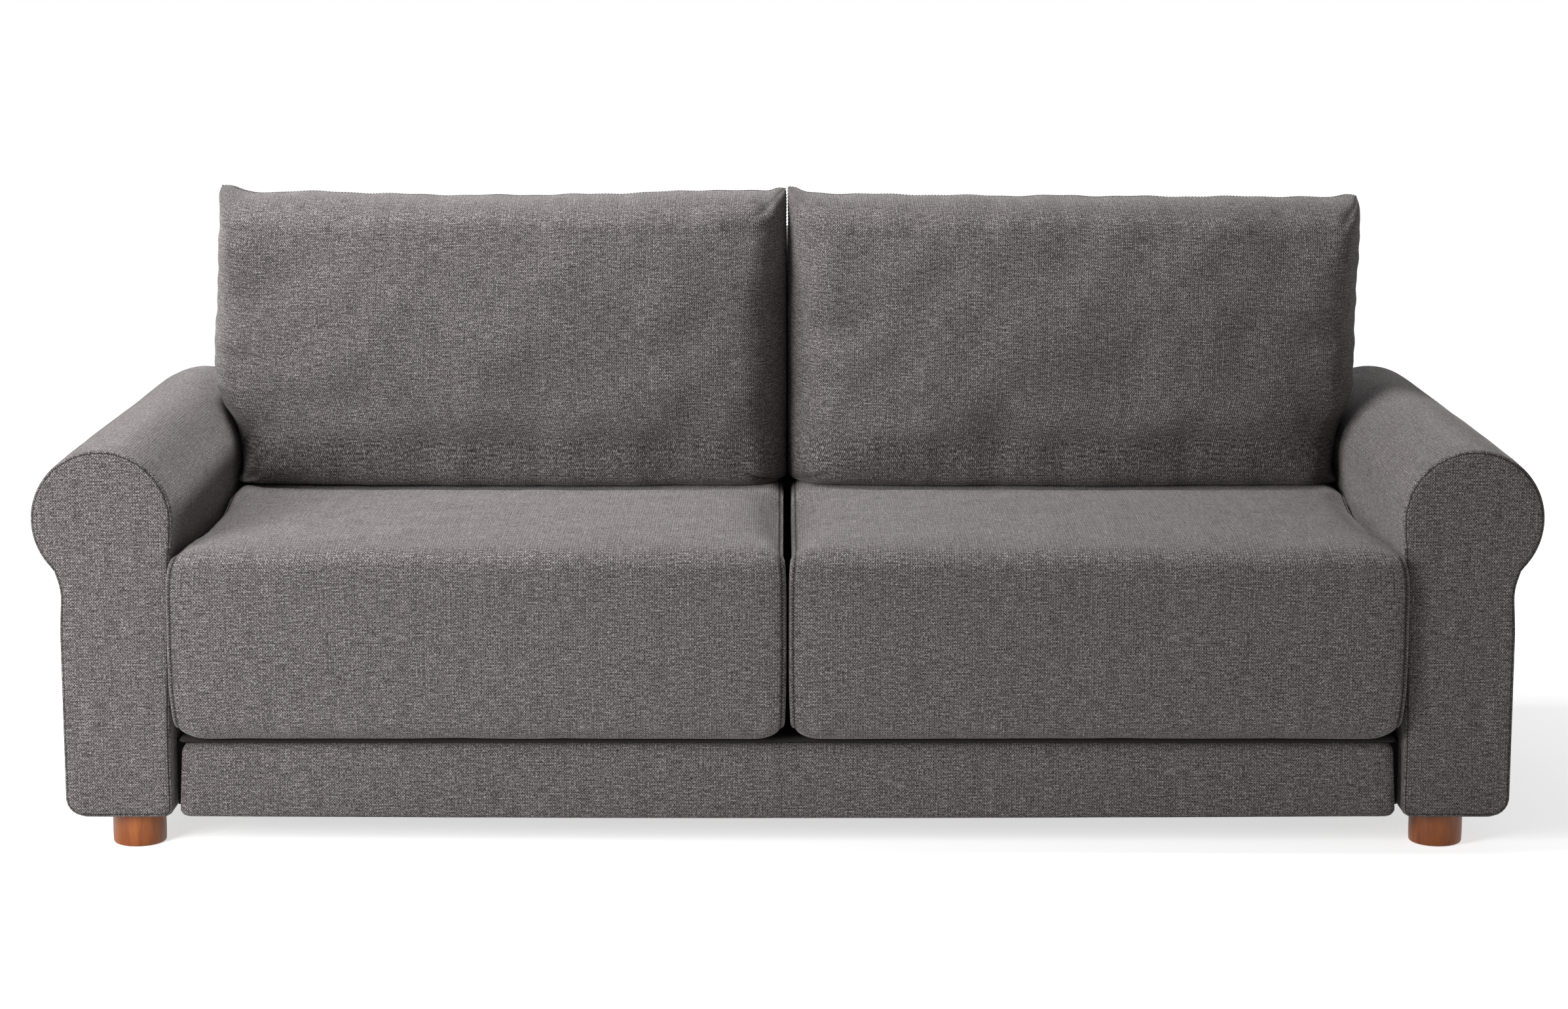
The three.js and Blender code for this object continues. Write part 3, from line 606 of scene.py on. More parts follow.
@dataclass
class Sleeve:
    """A sleeve of cloth along one direction, with a panel sewn into each end.

    The start and the end are those of the whole, with its end panels, which stand out past their
    seams. Its seams are darkened by painted shade, from none at 0 to full at 1, and the trim is how
    far an end panel's middle line ends before its outline does.
    """

    path: Array
    start: float
    end: float
    edge: SewnEnd
    place: Place
    warp: Warp
    long_axis: int
    trim: float
    step: float = 0.008
    # Painted shade along the seams, from none at 0 to full at 1.
    mark: float = 1.0

    def panels(self, step: float | None = None) -> list[Panel]:
        """Cut the sleeve and its two end panels.

        Args:
            step: size of the panels' cells, if not the sleeve's own.

        Returns:
            The sleeve, the panel at its start and the panel at its end.
        """
        cell = step or self.step
        outline = Outline.through(self.path, cell)
        start, end = self.start + self.edge.bulge, self.end - self.edge.bulge
        return [self._tube(outline, cell, start, end), self._cap(outline, cell, start, -1.0),
                self._cap(outline, cell, end, 1.0)]

    def _tube(self, outline: Outline, cell: float, start: float, end: float) -> Panel:
        """The sleeve itself, one row for each station from start to end.

        Args:
            outline: its section.
            cell: size of its cells.
            start: the first seam's place.
            end: the last seam's place.

        Returns:
            The panel.
        """
        curl = self.edge.curl
        shares = [0, 0.03, 0.10, 0.2, 0.34, 0.5, 0.7, 1.0] if cell < FINE_CELL else [0, 0.3, 1.0]
        near = curl * np.array(shares)
        middle = even(start + curl, end - curl, cell)[1:-1]
        stations = np.concatenate([start + near, middle, end - near[::-1]])
        far = np.clip(np.minimum(stations - start, end - stations) / curl, 0, 1)
        sunk = 1 - np.sqrt(1 - (1 - far) ** 2)
        drops = self.edge.drops(outline.normals)
        rings = np.stack([outline.inset(drops * share) for share in sunk])
        along = np.broadcast_to(stations[:, None], rings.shape[:2])
        points = self.place(along, rings[..., 0], rings[..., 1])
        lengths = np.broadcast_to(outline.lengths, rings.shape[:2])
        pair = (lengths, along) if self.warp is Warp.ALONG else (along, lengths)
        # The two rows at each seam get painted shade, the darker one at the seam.
        seam = np.zeros(len(stations))
        seam[:2] = seam[:-3:-1] = np.array([0.85, 0.25]) * self.mark
        seam = np.broadcast_to(seam[:, None], rings.shape[:2])
        columns = outline.lengths / outline.lengths[-1]
        return Panel(points, np.stack(pair, -1), seam, stations, columns, points)

    def _cap(self, outline: Outline, cell: float, end: float, outward: float) -> Panel:
        """The panel sewn into one end, in rings from the seam to its middle line.

        Args:
            outline: the sleeve's section.
            cell: size of its cells.
            end: the seam's place along the sleeve.
            outward: 1 or -1, the way it faces.

        Returns:
            The panel.
        """
        edge = self.edge
        insets = edge.swell * np.array([0, 0.06, 0.2, 0.4, 0.65, 1.0] if cell < FINE_CELL else [0, 0.5, 1.0])
        seam_ring = outline.inset(edge.drops(outline.normals))
        rings = [seam_ring - outline.normals * inset for inset in insets]
        heights = list(edge.bulge * np.sqrt(1 - (1 - insets / edge.swell) ** 2))
        spine = outline.spine(rings[-1], self.long_axis, self.trim)
        shares = even(0, 1, cell / 0.12)[1:]
        rings += [rings[-1] * (1 - share) + spine * share for share in shares]
        heights += [edge.bulge] * len(shares)
        grid = np.stack(rings)
        along = np.broadcast_to(end + outward * np.array(heights)[:, None], grid.shape[:2])
        points = self.place(along, grid[..., 0], grid[..., 1])
        # The two rings at the seam get painted shade, the darker one at the seam.
        seam = np.zeros(grid.shape[:2])
        seam[:2] = np.array([[0.85], [0.35]]) * self.mark
        rows = np.concatenate([insets / edge.swell * 0.3, 0.3 + 0.7 * shares])
        columns = outline.lengths / outline.lengths[-1]
        return Panel(points, grid.copy(), seam, rows, columns, points)


def weld(panels: Sequence[Panel]) -> tuple[Array, list[Array]]:
    """Join panels where their resting places meet.

    Args:
        panels: panels that share edges.

    Returns:
        The vertices, and for each panel the vertex number of each of its points.
    """
    keys = np.concatenate([np.round(panel.rest.reshape(-1, 3), 5) for panel in panels])
    numbers = np.unique(keys, axis=0, return_inverse=True)[1].reshape(-1)
    points = np.concatenate([panel.points.reshape(-1, 3) for panel in panels])
    shared = np.bincount(numbers)
    places = np.stack([np.bincount(numbers, points[:, k]) / shared for k in range(3)], 1)
    owners = np.split(numbers, np.cumsum([panel.seam.size for panel in panels])[:-1])
    return places, [owner.reshape(panel.seam.shape) for owner, panel in zip(owners, panels)]


def stand(name: str, data: bpy.types.ID) -> bpy.types.Object:
    """Put data into the scene as a new object.

    Args:
        name: the object's name.
        data: its mesh, curve, lamp or camera.

    Returns:
        The object.
    """
    obj = bpy.data.objects.new(name, data)
    bpy.context.scene.collection.objects.link(obj)
    return obj


def sew(name: str, panels: Sequence[Panel], material: Material | None) -> bpy.types.Object:
    """Sew panels into one closed mesh.

    Args:
        name: the new object's name.
        panels: the panels.
        material: the finish of the whole cover, or none.

    Returns:
        The object, smooth shaded, with the UV map "threads" and the attribute "seam", which holds the
        painted seam shade.
    """
    places, owners = weld(panels)
    faces, loops = [], []
    sunk = np.zeros(len(places))
    here, ahead = slice(None, -1), slice(1, None)
    quarters = [(here, here), (ahead, here), (ahead, ahead), (here, ahead)]
    for panel, numbers in zip(panels, owners):
        # Each point keeps the most painted seam shade of the panels that it belongs to.
        np.maximum.at(sunk, numbers.reshape(-1), panel.seam.reshape(-1))
        quads = np.stack([numbers[quarter] for quarter in quarters], -1).reshape(-1, 4).tolist()
        woven = np.stack([panel.threads[quarter] for quarter in quarters], 2).reshape(-1, 4, 2).tolist()
        for quad, uv in zip(quads, woven):
            kept = [k for k in range(4) if quad[k] != quad[k - 1]]
            if len(kept) > 2:
                faces.append([quad[k] for k in kept])
                loops.extend(uv[k] for k in kept)
    mesh = bpy.data.meshes.new(name)
    mesh.from_pydata(places.tolist(), [], faces)
    mesh.uv_layers.new(name="threads").data.foreach_set("uv", np.array(loops, np.float32).reshape(-1))
    mesh.attributes.new("seam", "FLOAT", "POINT").data.foreach_set("value", sunk.astype(np.float32))
    shell = bmesh.new()
    shell.from_mesh(mesh)
    bmesh.ops.recalc_face_normals(shell, faces=shell.faces)
    shell.to_mesh(mesh)
    shell.free()
    if material:
        mesh.materials.append(material)
    mesh.polygons.foreach_set("use_smooth", np.ones(len(mesh.polygons), bool))
    mesh.update()
    return stand(name, mesh)


# ------------------------------------------------------------------ filling


@dataclass(frozen=True)
class Filling:
    """How hard a cushion's filling pushes its cover out in the cloth simulation.

    The cap is the most that a point moves, in metres. The slack is how much cloth is cut to spare,
    as a share. Cells of 22 mm keep a run to a few seconds.
    """

    pressure: float
    cap: float
    slack: float = 0.0
    stiffness: float = 15.0
    bending: float = 0.6
    mass: float = 0.3
    quality: int = 4
    frames: int = 20
    cell: float = 0.022
    passes: int = 6

    def swell(self, rough: Sequence[Panel], fine: Sequence[Panel]) -> list[Panel]:
        """Blow up a rough copy of a cover and let the finished panels follow it.

        Args:
            rough: the cover in coarse cells.
            fine: the same cover in fine cells.

        Returns:
            The fine panels, moved.
        """
        moves = self._blow_up(rough)
        return [panel.bent(lambda points, go=self._carried(move, coarse, panel): points + go)
                for move, coarse, panel in zip(moves, rough, fine)]

    def _blow_up(self, panels: Sequence[Panel]) -> list[Array]:
        """Run the cloth on the coarse cover.

        Args:
            panels: the coarse panels.

        Returns:
            For each panel, how far each of its points went.
        """
        cover = sew("blown_up_copy", panels, None)
        before = np.array([vertex.co for vertex in cover.data.vertices])
        cloth = cover.modifiers.new("filling", "CLOTH")
        settings = cloth.settings
        settings.quality = self.quality
        settings.mass = self.mass
        settings.tension_stiffness = settings.compression_stiffness = self.stiffness
        settings.shear_stiffness = self.stiffness / 3
        settings.bending_stiffness = self.bending
        settings.use_pressure = True
        settings.uniform_pressure_force = self.pressure
        settings.shrink_min = -self.slack
        settings.effector_weights.gravity = 0.0
        cloth.point_cache.frame_start = 1
        cloth.point_cache.frame_end = self.frames
        scene = bpy.context.scene
        for frame in range(1, self.frames + 1):
            scene.frame_set(frame)
        blown = cover.evaluated_get(bpy.context.evaluated_depsgraph_get())
        move = np.array([vertex.co for vertex in blown.data.vertices]) - before
        far = np.linalg.norm(move, axis=1, keepdims=True)
        move *= self.cap * np.tanh(far / self.cap) / np.maximum(far, 1e-9)
        scene.frame_set(1)
        bpy.data.objects.remove(cover)
        LOG.info("blown up: mean move %.1f mm, most %.1f mm", far.mean() * 1000, far.max() * 1000)
        return [move[numbers] for numbers in weld(panels)[1]]

    def _carried(self, move: Array, coarse: Panel, fine: Panel) -> Array:
        """Spread the moves of a coarse panel over a fine one, and smooth them.

        Args:
            move: how far each point of the coarse panel went.
            coarse: the coarse panel.
            fine: the fine panel.

        Returns:
            How far each point of the fine panel goes.
        """
        wide = np.stack([[np.interp(fine.columns, coarse.columns, row[:, k]) for row in move]
                         for k in range(3)], -1)
        tall = np.stack([[np.interp(fine.rows, coarse.rows, wide[:, j, k]) for j in range(wide.shape[1])]
                         for k in range(3)], -1).transpose(1, 0, 2)
        ring = np.allclose(fine.rest[:, 0], fine.rest[:, -1])
        for _ in range(self.passes):
            tall = smoothed(tall)
            if ring:
                loop = tall[:, :-1]
                loop = (np.roll(loop, 1, 1) + 2 * loop + np.roll(loop, -1, 1)) / 4
                tall = np.concatenate([loop, loop[:, :1]], 1)
            else:
                tall = smoothed(tall.swapaxes(0, 1)).swapaxes(0, 1)
        return tall


# ------------------------------------------------------------------ stitches and dressing


@dataclass(frozen=True)
class StitchRow:
    """A row of machine stitches along a seam.

    The real thread is 0.7 mm thick, too fine to show, so each stitch is drawn as a bead of 1.6 mm.
    """

    pitch: float = 0.0052
    length: float = 0.0036
    thickness: float = 0.0016

    def tree(self, thread: Material) -> Tree:
        """The node tree that lays one stitch at each pitch along a curve.

        Args:
            thread: the thread's material.

        Returns:
            The node tree.
        """
        tree = bpy.data.node_groups.new("stitch_row", "GeometryNodeTree")
        sockets = tree.interface
        sockets.new_socket("Geometry", in_out="INPUT", socket_type="NodeSocketGeometry")
        for name in ("Pitch", "Length", "Thickness"):
            sockets.new_socket(name, in_out="INPUT", socket_type="NodeSocketFloat")
        sockets.new_socket("Geometry", in_out="OUTPUT", socket_type="NodeSocketGeometry")
        given = add(tree, "NodeGroupInput").outputs
        route = {"Curve": given["Geometry"], "Length": given["Pitch"]}
        spaced = add(tree, "GeometryNodeResampleCurve", route, mode="LENGTH")
        tangent = add(tree, "GeometryNodeInputTangent")
        turn = add(tree, "FunctionNodeAlignEulerToVector", {"Vector": tangent.outputs[0]}, axis="Z")
        bead = add(tree, "GeometryNodeMeshUVSphere", {"Segments": 6, "Rings": 4, "Radius": 0.5})
        thickness = given["Thickness"]
        size = add(tree, "ShaderNodeCombineXYZ", {0: thickness, 1: thickness, 2: given["Length"]})
        laid = add(tree, "GeometryNodeInstanceOnPoints", {
            "Points": spaced.outputs[0], "Instance": bead.outputs[0], "Rotation": turn.outputs[0],
            "Scale": size.outputs[0],
        })
        real = add(tree, "GeometryNodeRealizeInstances", {"Geometry": laid.outputs[0]})
        finish = add(tree, "GeometryNodeSetMaterial", {"Geometry": real.outputs[0], "Material": thread})
        add(tree, "NodeGroupOutput", {"Geometry": finish.outputs[0]})
        return tree

    def sew_along(self, name: str, routes: Sequence[Array], thread: Material) -> bpy.types.Object:
        """Lay stitches along routes and return them as one plain mesh.

        Args:
            name: the new object's name.
            routes: arrays of points, one for each seam.
            thread: the thread's material.

        Returns:
            The mesh object, with no modifier left on it.
        """
        curve = bpy.data.curves.new(name + "_route", "CURVE")
        curve.dimensions = "3D"
        for route in routes:
            spline = curve.splines.new("POLY")
            spline.points.add(len(route) - 1)
            spline.points.foreach_set("co", np.c_[route, np.ones(len(route))].reshape(-1))
        holder = stand(name + "_route", curve)
        modifier = holder.modifiers.new("stitches", "NODES")
        modifier.node_group = self.tree(thread)
        sizes = {"Pitch": self.pitch, "Length": self.length, "Thickness": self.thickness}
        for item in modifier.node_group.interface.items_tree:
            if item.in_out == "INPUT" and item.name in sizes:
                modifier[item.identifier] = sizes[item.name]
        bpy.context.view_layer.update()
        graph = bpy.context.evaluated_depsgraph_get()
        mesh = bpy.data.meshes.new_from_object(holder.evaluated_get(graph))
        bpy.data.objects.remove(holder)
        mesh.name = name
        mesh.polygons.foreach_set("use_smooth", np.ones(len(mesh.polygons), bool))
        return stand(name, mesh)


def dress(obj: bpy.types.Object, body: str, nodes: Sequence[str] = ()) -> None:
    """Hang a finished piece on the frame.

    Args:
        obj: the piece, in place.
        body: the body it rides on.
        nodes: CAD nodes that it stands for.
    """
    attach(obj, body)
    if nodes:
        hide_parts(*nodes)
    LOG.info("%s: %d faces on %s", obj.name, len(obj.data.polygons), body)


def end_seams(panels: Sequence[Panel]) -> list[Array]:
    """The routes of the seams where a sleeve's two end panels are sewn in."""
    return [panel.points[0] for panel in panels[1:]]


@dataclass
class Piece:
    """A piece of the sofa, which holds its sizes and is made of the sofa's finishes."""

    finishes: Finishes

    def build(self) -> None:
        """Make the piece's meshes and hang them on the frame, which each piece does its own way."""
        raise NotImplementedError

    def upholster(self, name: str, body: str, node: str, panels: Sequence[Panel], fill: float,
                  seams: Sequence[Array] = ()) -> None:
        """Sew a cover, lay stitches along its seams and hang both on their body.

        Args:
            name: the cover's name, whose last word the stitches' name replaces.
            body: the body that both ride on.
            node: the CAD node that the cover stands for.
            panels: the cover's panels.
            fill: how tightly it is stuffed; not used.
            seams: routes of the stitches, or none.
        """
        dress(sew(name, panels, self.finishes.cloth), body, [node])
        if seams:
            row = name.rsplit("_", 1)[0] + "_stitches"
            dress(StitchRow().sew_along(row, seams, self.finishes.thread), body)


# ------------------------------------------------------------------ legs and frame


@dataclass
class Leg(Piece):
    """A round foot, turned with a small rounding at both ends and a wall that barely swells."""

    node: str
    rounding: float = 0.004
    swell: float = 0.0004
    sides: int = 72

    def build(self) -> None:
        """Turn the foot and hang it on the frame."""
        low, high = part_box(self.node)
        middle, radius = (low + high) / 2, (high.x - low.x) / 2
        turn = np.linspace(0, math.pi / 2, 6)
        lower = np.stack([radius - self.rounding * (1 - np.sin(turn)),
                          low.z + self.rounding * (1 - np.cos(turn))], 1)
        upper = np.stack([lower[::-1, 0], high.z + low.z - lower[::-1, 1]], 1)
        ends = np.array([[0, 0], [radius * 0.5, 0], [radius - self.rounding - 0.002, 0]])
        barrel = even(low.z + self.rounding, high.z - self.rounding, 0.006)[1:-1]
        swell = self.swell * np.sin(np.pi * (barrel - low.z) / (high.z - low.z))
        wall = np.stack([radius + swell, barrel], 1)
        profile = np.concatenate([ends + [0, low.z], lower, wall, upper, ends[::-1] + [0, high.z]])
        around = np.linspace(0, 2 * math.pi, self.sides + 1)
        around[-1] = 0.0
        reach = profile[:, :1]
        points = np.stack([middle.x + reach * np.cos(around), middle.y + reach * np.sin(around),
                           np.repeat(profile[:, 1:], len(around), 1)], -1)
        flat = np.zeros(points.shape[:2])
        panel = Panel(points, points[..., :2], flat, profile[:, 1], around, points)
        foot = sew(f"{self.node}_turned", [panel], self.finishes.slots["leg_wood"])
        dress(foot, "frame", [self.node])


@dataclass
class Webbing(Piece):
    """Straps across the back frame, woven over and under each other, with room before and behind."""

    node: str = "back_webbing"
    uprights: int = 9
    crosses: int = 4
    width: float = 0.050
    thickness: float = 0.0026
    wave: float = 0.0016
    inset: float = 0.002
    room: float = 0.0015
    step: float = 0.012

    def build(self) -> None:
        """Weave the straps and hang them on the frame."""
        self.low, self.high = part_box(self.node)
        margin = 2 * self.width
        columns = np.linspace(self.low.x + margin, self.high.x - margin, self.uprights)
        rows = np.linspace(self.low.z + margin, self.high.z - margin, self.crosses)
        panels = []
        for number, x in enumerate(columns):
            path = even(self.low.z + self.inset, self.high.z - self.inset, self.step)
            over = np.cos(np.interp(path, rows, np.arange(len(rows)) * math.pi) + number * math.pi)
            panels.append(self._strap(np.full(len(path), x), path, over, (1, 0)))
        for number, z in enumerate(rows):
            path = even(self.low.x + self.inset, self.high.x - self.inset, self.step)
            over = -np.cos(np.interp(path, columns, np.arange(len(columns)) * math.pi) + number * math.pi)
            panels.append(self._strap(path, np.full(len(path), z), over, (0, 1)))
        straps = sew("back_webbing_straps", panels, self.finishes.slots["webbing"])
        dress(straps, "frame", [self.node])

    def _strap(self, x: Array, z: Array, over: Array, across: tuple[int, int]) -> Panel:
        """One strap as a closed tube of flat section.

        Args:
            x: places of its middle line.
            z: heights of its middle line.
            over: 1 where it passes in front and -1 where it passes behind.
            across: direction of its width, as x and z.

        Returns:
            The strap.
        """
        half, thick = self.width / 2, self.thickness / 2
        section = np.array([[-half, 0], [-half * 0.97, thick], [0, thick], [half * 0.97, thick], [half, 0],
                            [half * 0.97, -thick], [0, -thick], [-half * 0.97, -thick], [-half, 0]])
        lean = (self.high.y - self.low.y - 2 * self.room) / (self.high.z - self.low.z)
        front = self.low.y + self.room + (z - self.low.z) * lean
        ends = np.concatenate([[0.0], np.ones(len(x)), [0.0]])
        pad = np.concatenate([[0], np.arange(len(x)), [len(x) - 1]])
        wide = section[:, 0] * ends[:, None]
        deep = section[:, 1] * ends[:, None]
        depth = (front - over * self.wave)[pad][:, None] + deep
        points = np.stack([x[pad][:, None] + wide * across[0], depth,
                           z[pad][:, None] + wide * across[1]], -1)
        return Panel(points, points[..., [0, 2]], np.zeros(points.shape[:2]), pad, section[:, 0], points)


@dataclass
class DustCloth(Piece):
    """Thin felted cloth, stretched under the seat, stapled to the rails and held up along its middle."""

    node: str = "bottom_cloth"
    sag: float = 0.003
    thickness: float = 0.0006
    middle_strip: float = 0.02
    step: float = 0.02

    def build(self) -> None:
        low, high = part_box(self.node)
        x, y = even(low.x, high.x, self.step), even(low.y, high.y, self.step)
        across, along = np.meshgrid(x, y)
        bow = np.sin(np.pi * (along - low.y) / (high.y - low.y))
        loose = (1 - np.abs(across * 2 / (high.x - low.x)) ** 4) * bow
        middle = np.abs(across) > self.middle_strip
        height = high.z - self.thickness - self.sag * loose * middle
        points = np.stack([across, along, height], -1)
        panel = Panel(points, points[..., :2], np.zeros(points.shape[:2]), y, x, points)
        cloth = sew("bottom_dust_cloth", [panel], self.finishes.slots["lining_cloth"])
        shell = cloth.modifiers.new("thickness", "SOLIDIFY")
        shell.thickness = self.thickness
        dress(cloth, "frame", [self.node])


# ------------------------------------------------------------------ fixed upholstery


@dataclass
class Arm(Piece):
    """An arm: a padded roll on a slab-sided body, with a flat panel sewn into each end.

    The radius and the height are the roll's, and the kink is where the body below meets it. Each
    corner of the body's outer and inner line is given by its distance out from the roll's centre,
    its drop below that centre and its rounding.
    """

    side: Side
    radius: float = 0.1035
    height: float = 0.495
    kink: float = 0.0725
    outer_line: Sequence[tuple[float, float, float]] = ((0.0665, 0.165, 0.25), (0.0630, 0.104, 0.08))
    inner_line: Sequence[tuple[float, float, float]] = ((-0.0985, 0.075, 0.3), (-0.0950, 0.20, 0.3),
                                                        (-0.0915, 0.31, 0.3))
    bottom_corners: tuple[float, float] = (0.028, 0.012)
    calm: tuple[float, float] = (0.006, 0.07)  # the wander grows in over these distances from an end
    roll_foot: tuple[float, float] = (0.415, 0.46)  # the roll's swell grows in over these heights
    seat_side: tuple[float, float] = (0.05, 0.09)  # the seat holds it flat from this far inwards
    swell: float = 0.0015
    wander: float = 0.0016
    wander_size: float = 0.13
    end_wander: float = 0.0009
    end_wander_size: float = 0.12
    wrap: float = 0.0008
    cell: float = 0.007
    edge: SewnEnd = SewnEnd(0.008, (0.0045, 0.0045, 0.0045, 0.0045), 0.0022, 0.008)

    def build(self) -> None:
        """Sew the cover and its stitches."""
        node = f"{self.side.word}_arm_upholstery"
        low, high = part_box(node)
        self.front, self.rear, self.bottom = low.y, high.y, low.z
        self.middle = (high.x if self.side is Side.RIGHT else low.x) - self.side.value * self.radius
        sleeve = Sleeve(self._path(), self.front, self.rear, self.edge, self._place, Warp.ALONG,
                        long_axis=1, trim=0.10, step=self.cell)
        panels = [panel.bent(self._shape) for panel in sleeve.panels()]
        self.upholster(f"{self.side.word}_arm_cover", "frame", node, panels, 0.9, end_seams(panels))

    def _path(self) -> Array:
        """The arm's outline, with x outwards from the roll's centre.

        Returns:
            Its points, from the middle of the bottom.
        """
        first = -math.acos(self.kink / self.radius)
        turns = np.arange(first + 0.05, math.radians(184), math.radians(3))
        roll = [(self.radius * math.cos(t), self.height + self.radius * math.sin(t), 0.0) for t in turns]
        outer, inner = ([(out, self.height - drop, rounding) for out, drop, rounding in line]
                        for line in (self.outer_line, self.inner_line))
        return rounded([
            (outer[0][0], self.bottom, self.bottom_corners[0]),
            *outer,
            (self.kink, self.height + self.radius * math.sin(first), 0.010),
            *roll,
            *inner,
            (inner[-1][0], self.bottom, self.bottom_corners[1]),
        ])

    def _place(self, along: Array, out: Array, up: Array) -> Array:
        """Put outline points at their depth, on this side of the sofa."""
        return np.stack([self.middle + self.side.value * out, along, up], -1)

    def _shape(self, points: Array) -> Array:
        """Let the padding swell between the ends and wander a little.

        Args:
            points: a panel's points.

        Returns:
            The moved points.
        """
        centre = np.array([self.middle, 0, self.height])
        away = (points - centre) * np.array([1, 0, 1])
        away /= np.maximum(np.linalg.norm(away, axis=-1, keepdims=True), 1e-6)
        inside = np.minimum(points[..., 1] - self.front, self.rear - points[..., 1])
        calm = rise(inside, *self.calm)
        roll = rise(points[..., 2], *self.roll_foot)
        waves = ripple(points * np.array([1, 0.4, 1]), self.wander_size, 3.1 * self.side.value)
        step = calm * (self.swell * roll + self.wander * waves)
        # The seat cushion keeps the padding flat beside it.
        inner = rise(-self.side.value * (points[..., 0] - self.middle), *self.seat_side)
        seat = inner * rise(self.roll_foot[1] - points[..., 2], 0, 0.1)
        moved = points + away * (step * (1 - seat))[..., None]
        # Below, the cover lies flat under the base board.
        sole = self.bottom - self.wrap
        flat = points[..., 2] < self.bottom + self.wrap / 2
        moved[..., 2] = np.where(flat, sole, np.maximum(moved[..., 2], sole))
        end = rise(self.calm[0] - inside, 0, self.calm[0])
        face = end * ripple(points, self.end_wander_size, 5.0 + self.side.value, 1)
        moved[..., 1] -= np.sign(-points[..., 1]) * (face * self.end_wander)
        return moved


@dataclass
class RailCover(Piece):
    """The padded cover of the front rail, wrapped round its ends."""

    node: str = "front_rail_upholstery"
    sag: float = 0.003
    slant: float = 0.006
    belly: float = 0.002
    wander: float = 0.0012
    fold: float = 0.004
    fold_spot: tuple[float, float] = (0.03, 0.012)  # from the right end and from the hem
    fold_size: tuple[float, float] = (0.018, 0.009)
    edge: SewnEnd = SewnEnd(0.014, (0.002, 0.007, 0.006, 0.011), 0.002, 0.007)

    def build(self) -> None:
        """Wrap the rail."""
        self.low, self.high = low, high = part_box(self.node)
        rear = high.y + 0.0005
        path = rounded([(low.y, high.z, 0.014), (rear, high.z, 0.003), (rear, low.z, 0.003),
                        (low.y, low.z, 0.010)])
        sleeve = Sleeve(path, low.x, high.x, self.edge, place_along_x(1), Warp.AROUND,
                        long_axis=1, trim=0.02, step=0.006, mark=0.0)
        panels = [panel.bent(self._shape) for panel in sleeve.panels()]
        self.upholster("front_rail_cover", "frame", self.node, panels, 0.8)

    def _shape(self, points: Array) -> Array:
        """Let the hem sag, the ends lean in at the top and the padding wander.

        Args:
            points: a panel's points.

        Returns:
            The moved points.
        """
        moved = points.copy()
        x, z = points[..., 0], points[..., 2]
        share = (z - self.low.z) / (self.high.z - self.low.z)
        reach = np.abs(x) / self.high.x
        moved[..., 2] -= self.sag * (1 - reach ** 2) * (1 - share)
        moved[..., 0] -= np.sign(x) * self.slant * share * rise(reach, 0.93, 1.0)
        front = rise(self.low.y + 0.02 - points[..., 1], 0, 0.02)
        moved[..., 1] -= front * (self.belly * np.sin(np.pi * np.clip(share, 0, 1))
                                  + self.wander * ripple(points, 0.10, 21.0)) * rise(1 - reach, 0, 0.03)
        # The hem gathers into one small fold near the right end.
        (inwards, up), (wide, tall) = self.fold_spot, self.fold_size
        fold = np.exp(-(((x - self.high.x + inwards) / wide) ** 2 + ((z - self.low.z - up) / tall) ** 2))
        moved[..., 1] -= front * self.fold * fold
        return moved


@dataclass
class GapLining(Piece):
    """Sheets of the dark lining cloth over a side rail's ends, which paint the shade in the gaps beside the
    arm at the front and the rear.
    """

    side: Side
    front_width: float = 0.0220
    rear_width: float = 0.0112
    thickness: float = 0.0016
    margin: float = 0.008
    clearance: float = 0.0003
    bevel: float = 0.0004

    def build(self) -> None:
        """Put the dark sheets over the rail's ends, as painted shade."""
        low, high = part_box(f"base_{self.side.word}_rail")
        outer = max(abs(low.x), abs(high.x))
        tall, away = high.z - low.z + self.margin, self.thickness / 2 + self.clearance
        shape = bmesh.new()
        for width, depth in ((self.front_width, low.y - away), (self.rear_width, high.y + away)):
            x = self.side.value * (outer - self.clearance - width / 2)
            spot = Matrix.Translation((x, depth, low.z + tall / 2))
            size = Matrix.Diagonal((width, self.thickness, tall, 1))
            bmesh.ops.create_cube(shape, size=1.0, matrix=spot @ size)
        bmesh.ops.bevel(shape, geom=list(shape.edges), offset=self.bevel, segments=2, affect="EDGES")
        name = f"{self.side.word}_gap_lining"
        mesh = bpy.data.meshes.new(name)
        shape.to_mesh(mesh)
        shape.free()
        # The near black lining cloth stands for the shade in the gaps.
        mesh.materials.append(self.finishes.slots["lining_cloth"])
        dress(stand(name, mesh), "frame")


def place_along_x(mirror: float) -> Place:
    """The placing of a sleeve that runs along x, mirrored for the left side.

    Args:
        mirror: 1, or -1 for the left side.

    Returns:
        A function from the place along the sleeve, y and z to points.
    """
    return lambda along, y, z: np.stack([along * mirror, y, z], -1)


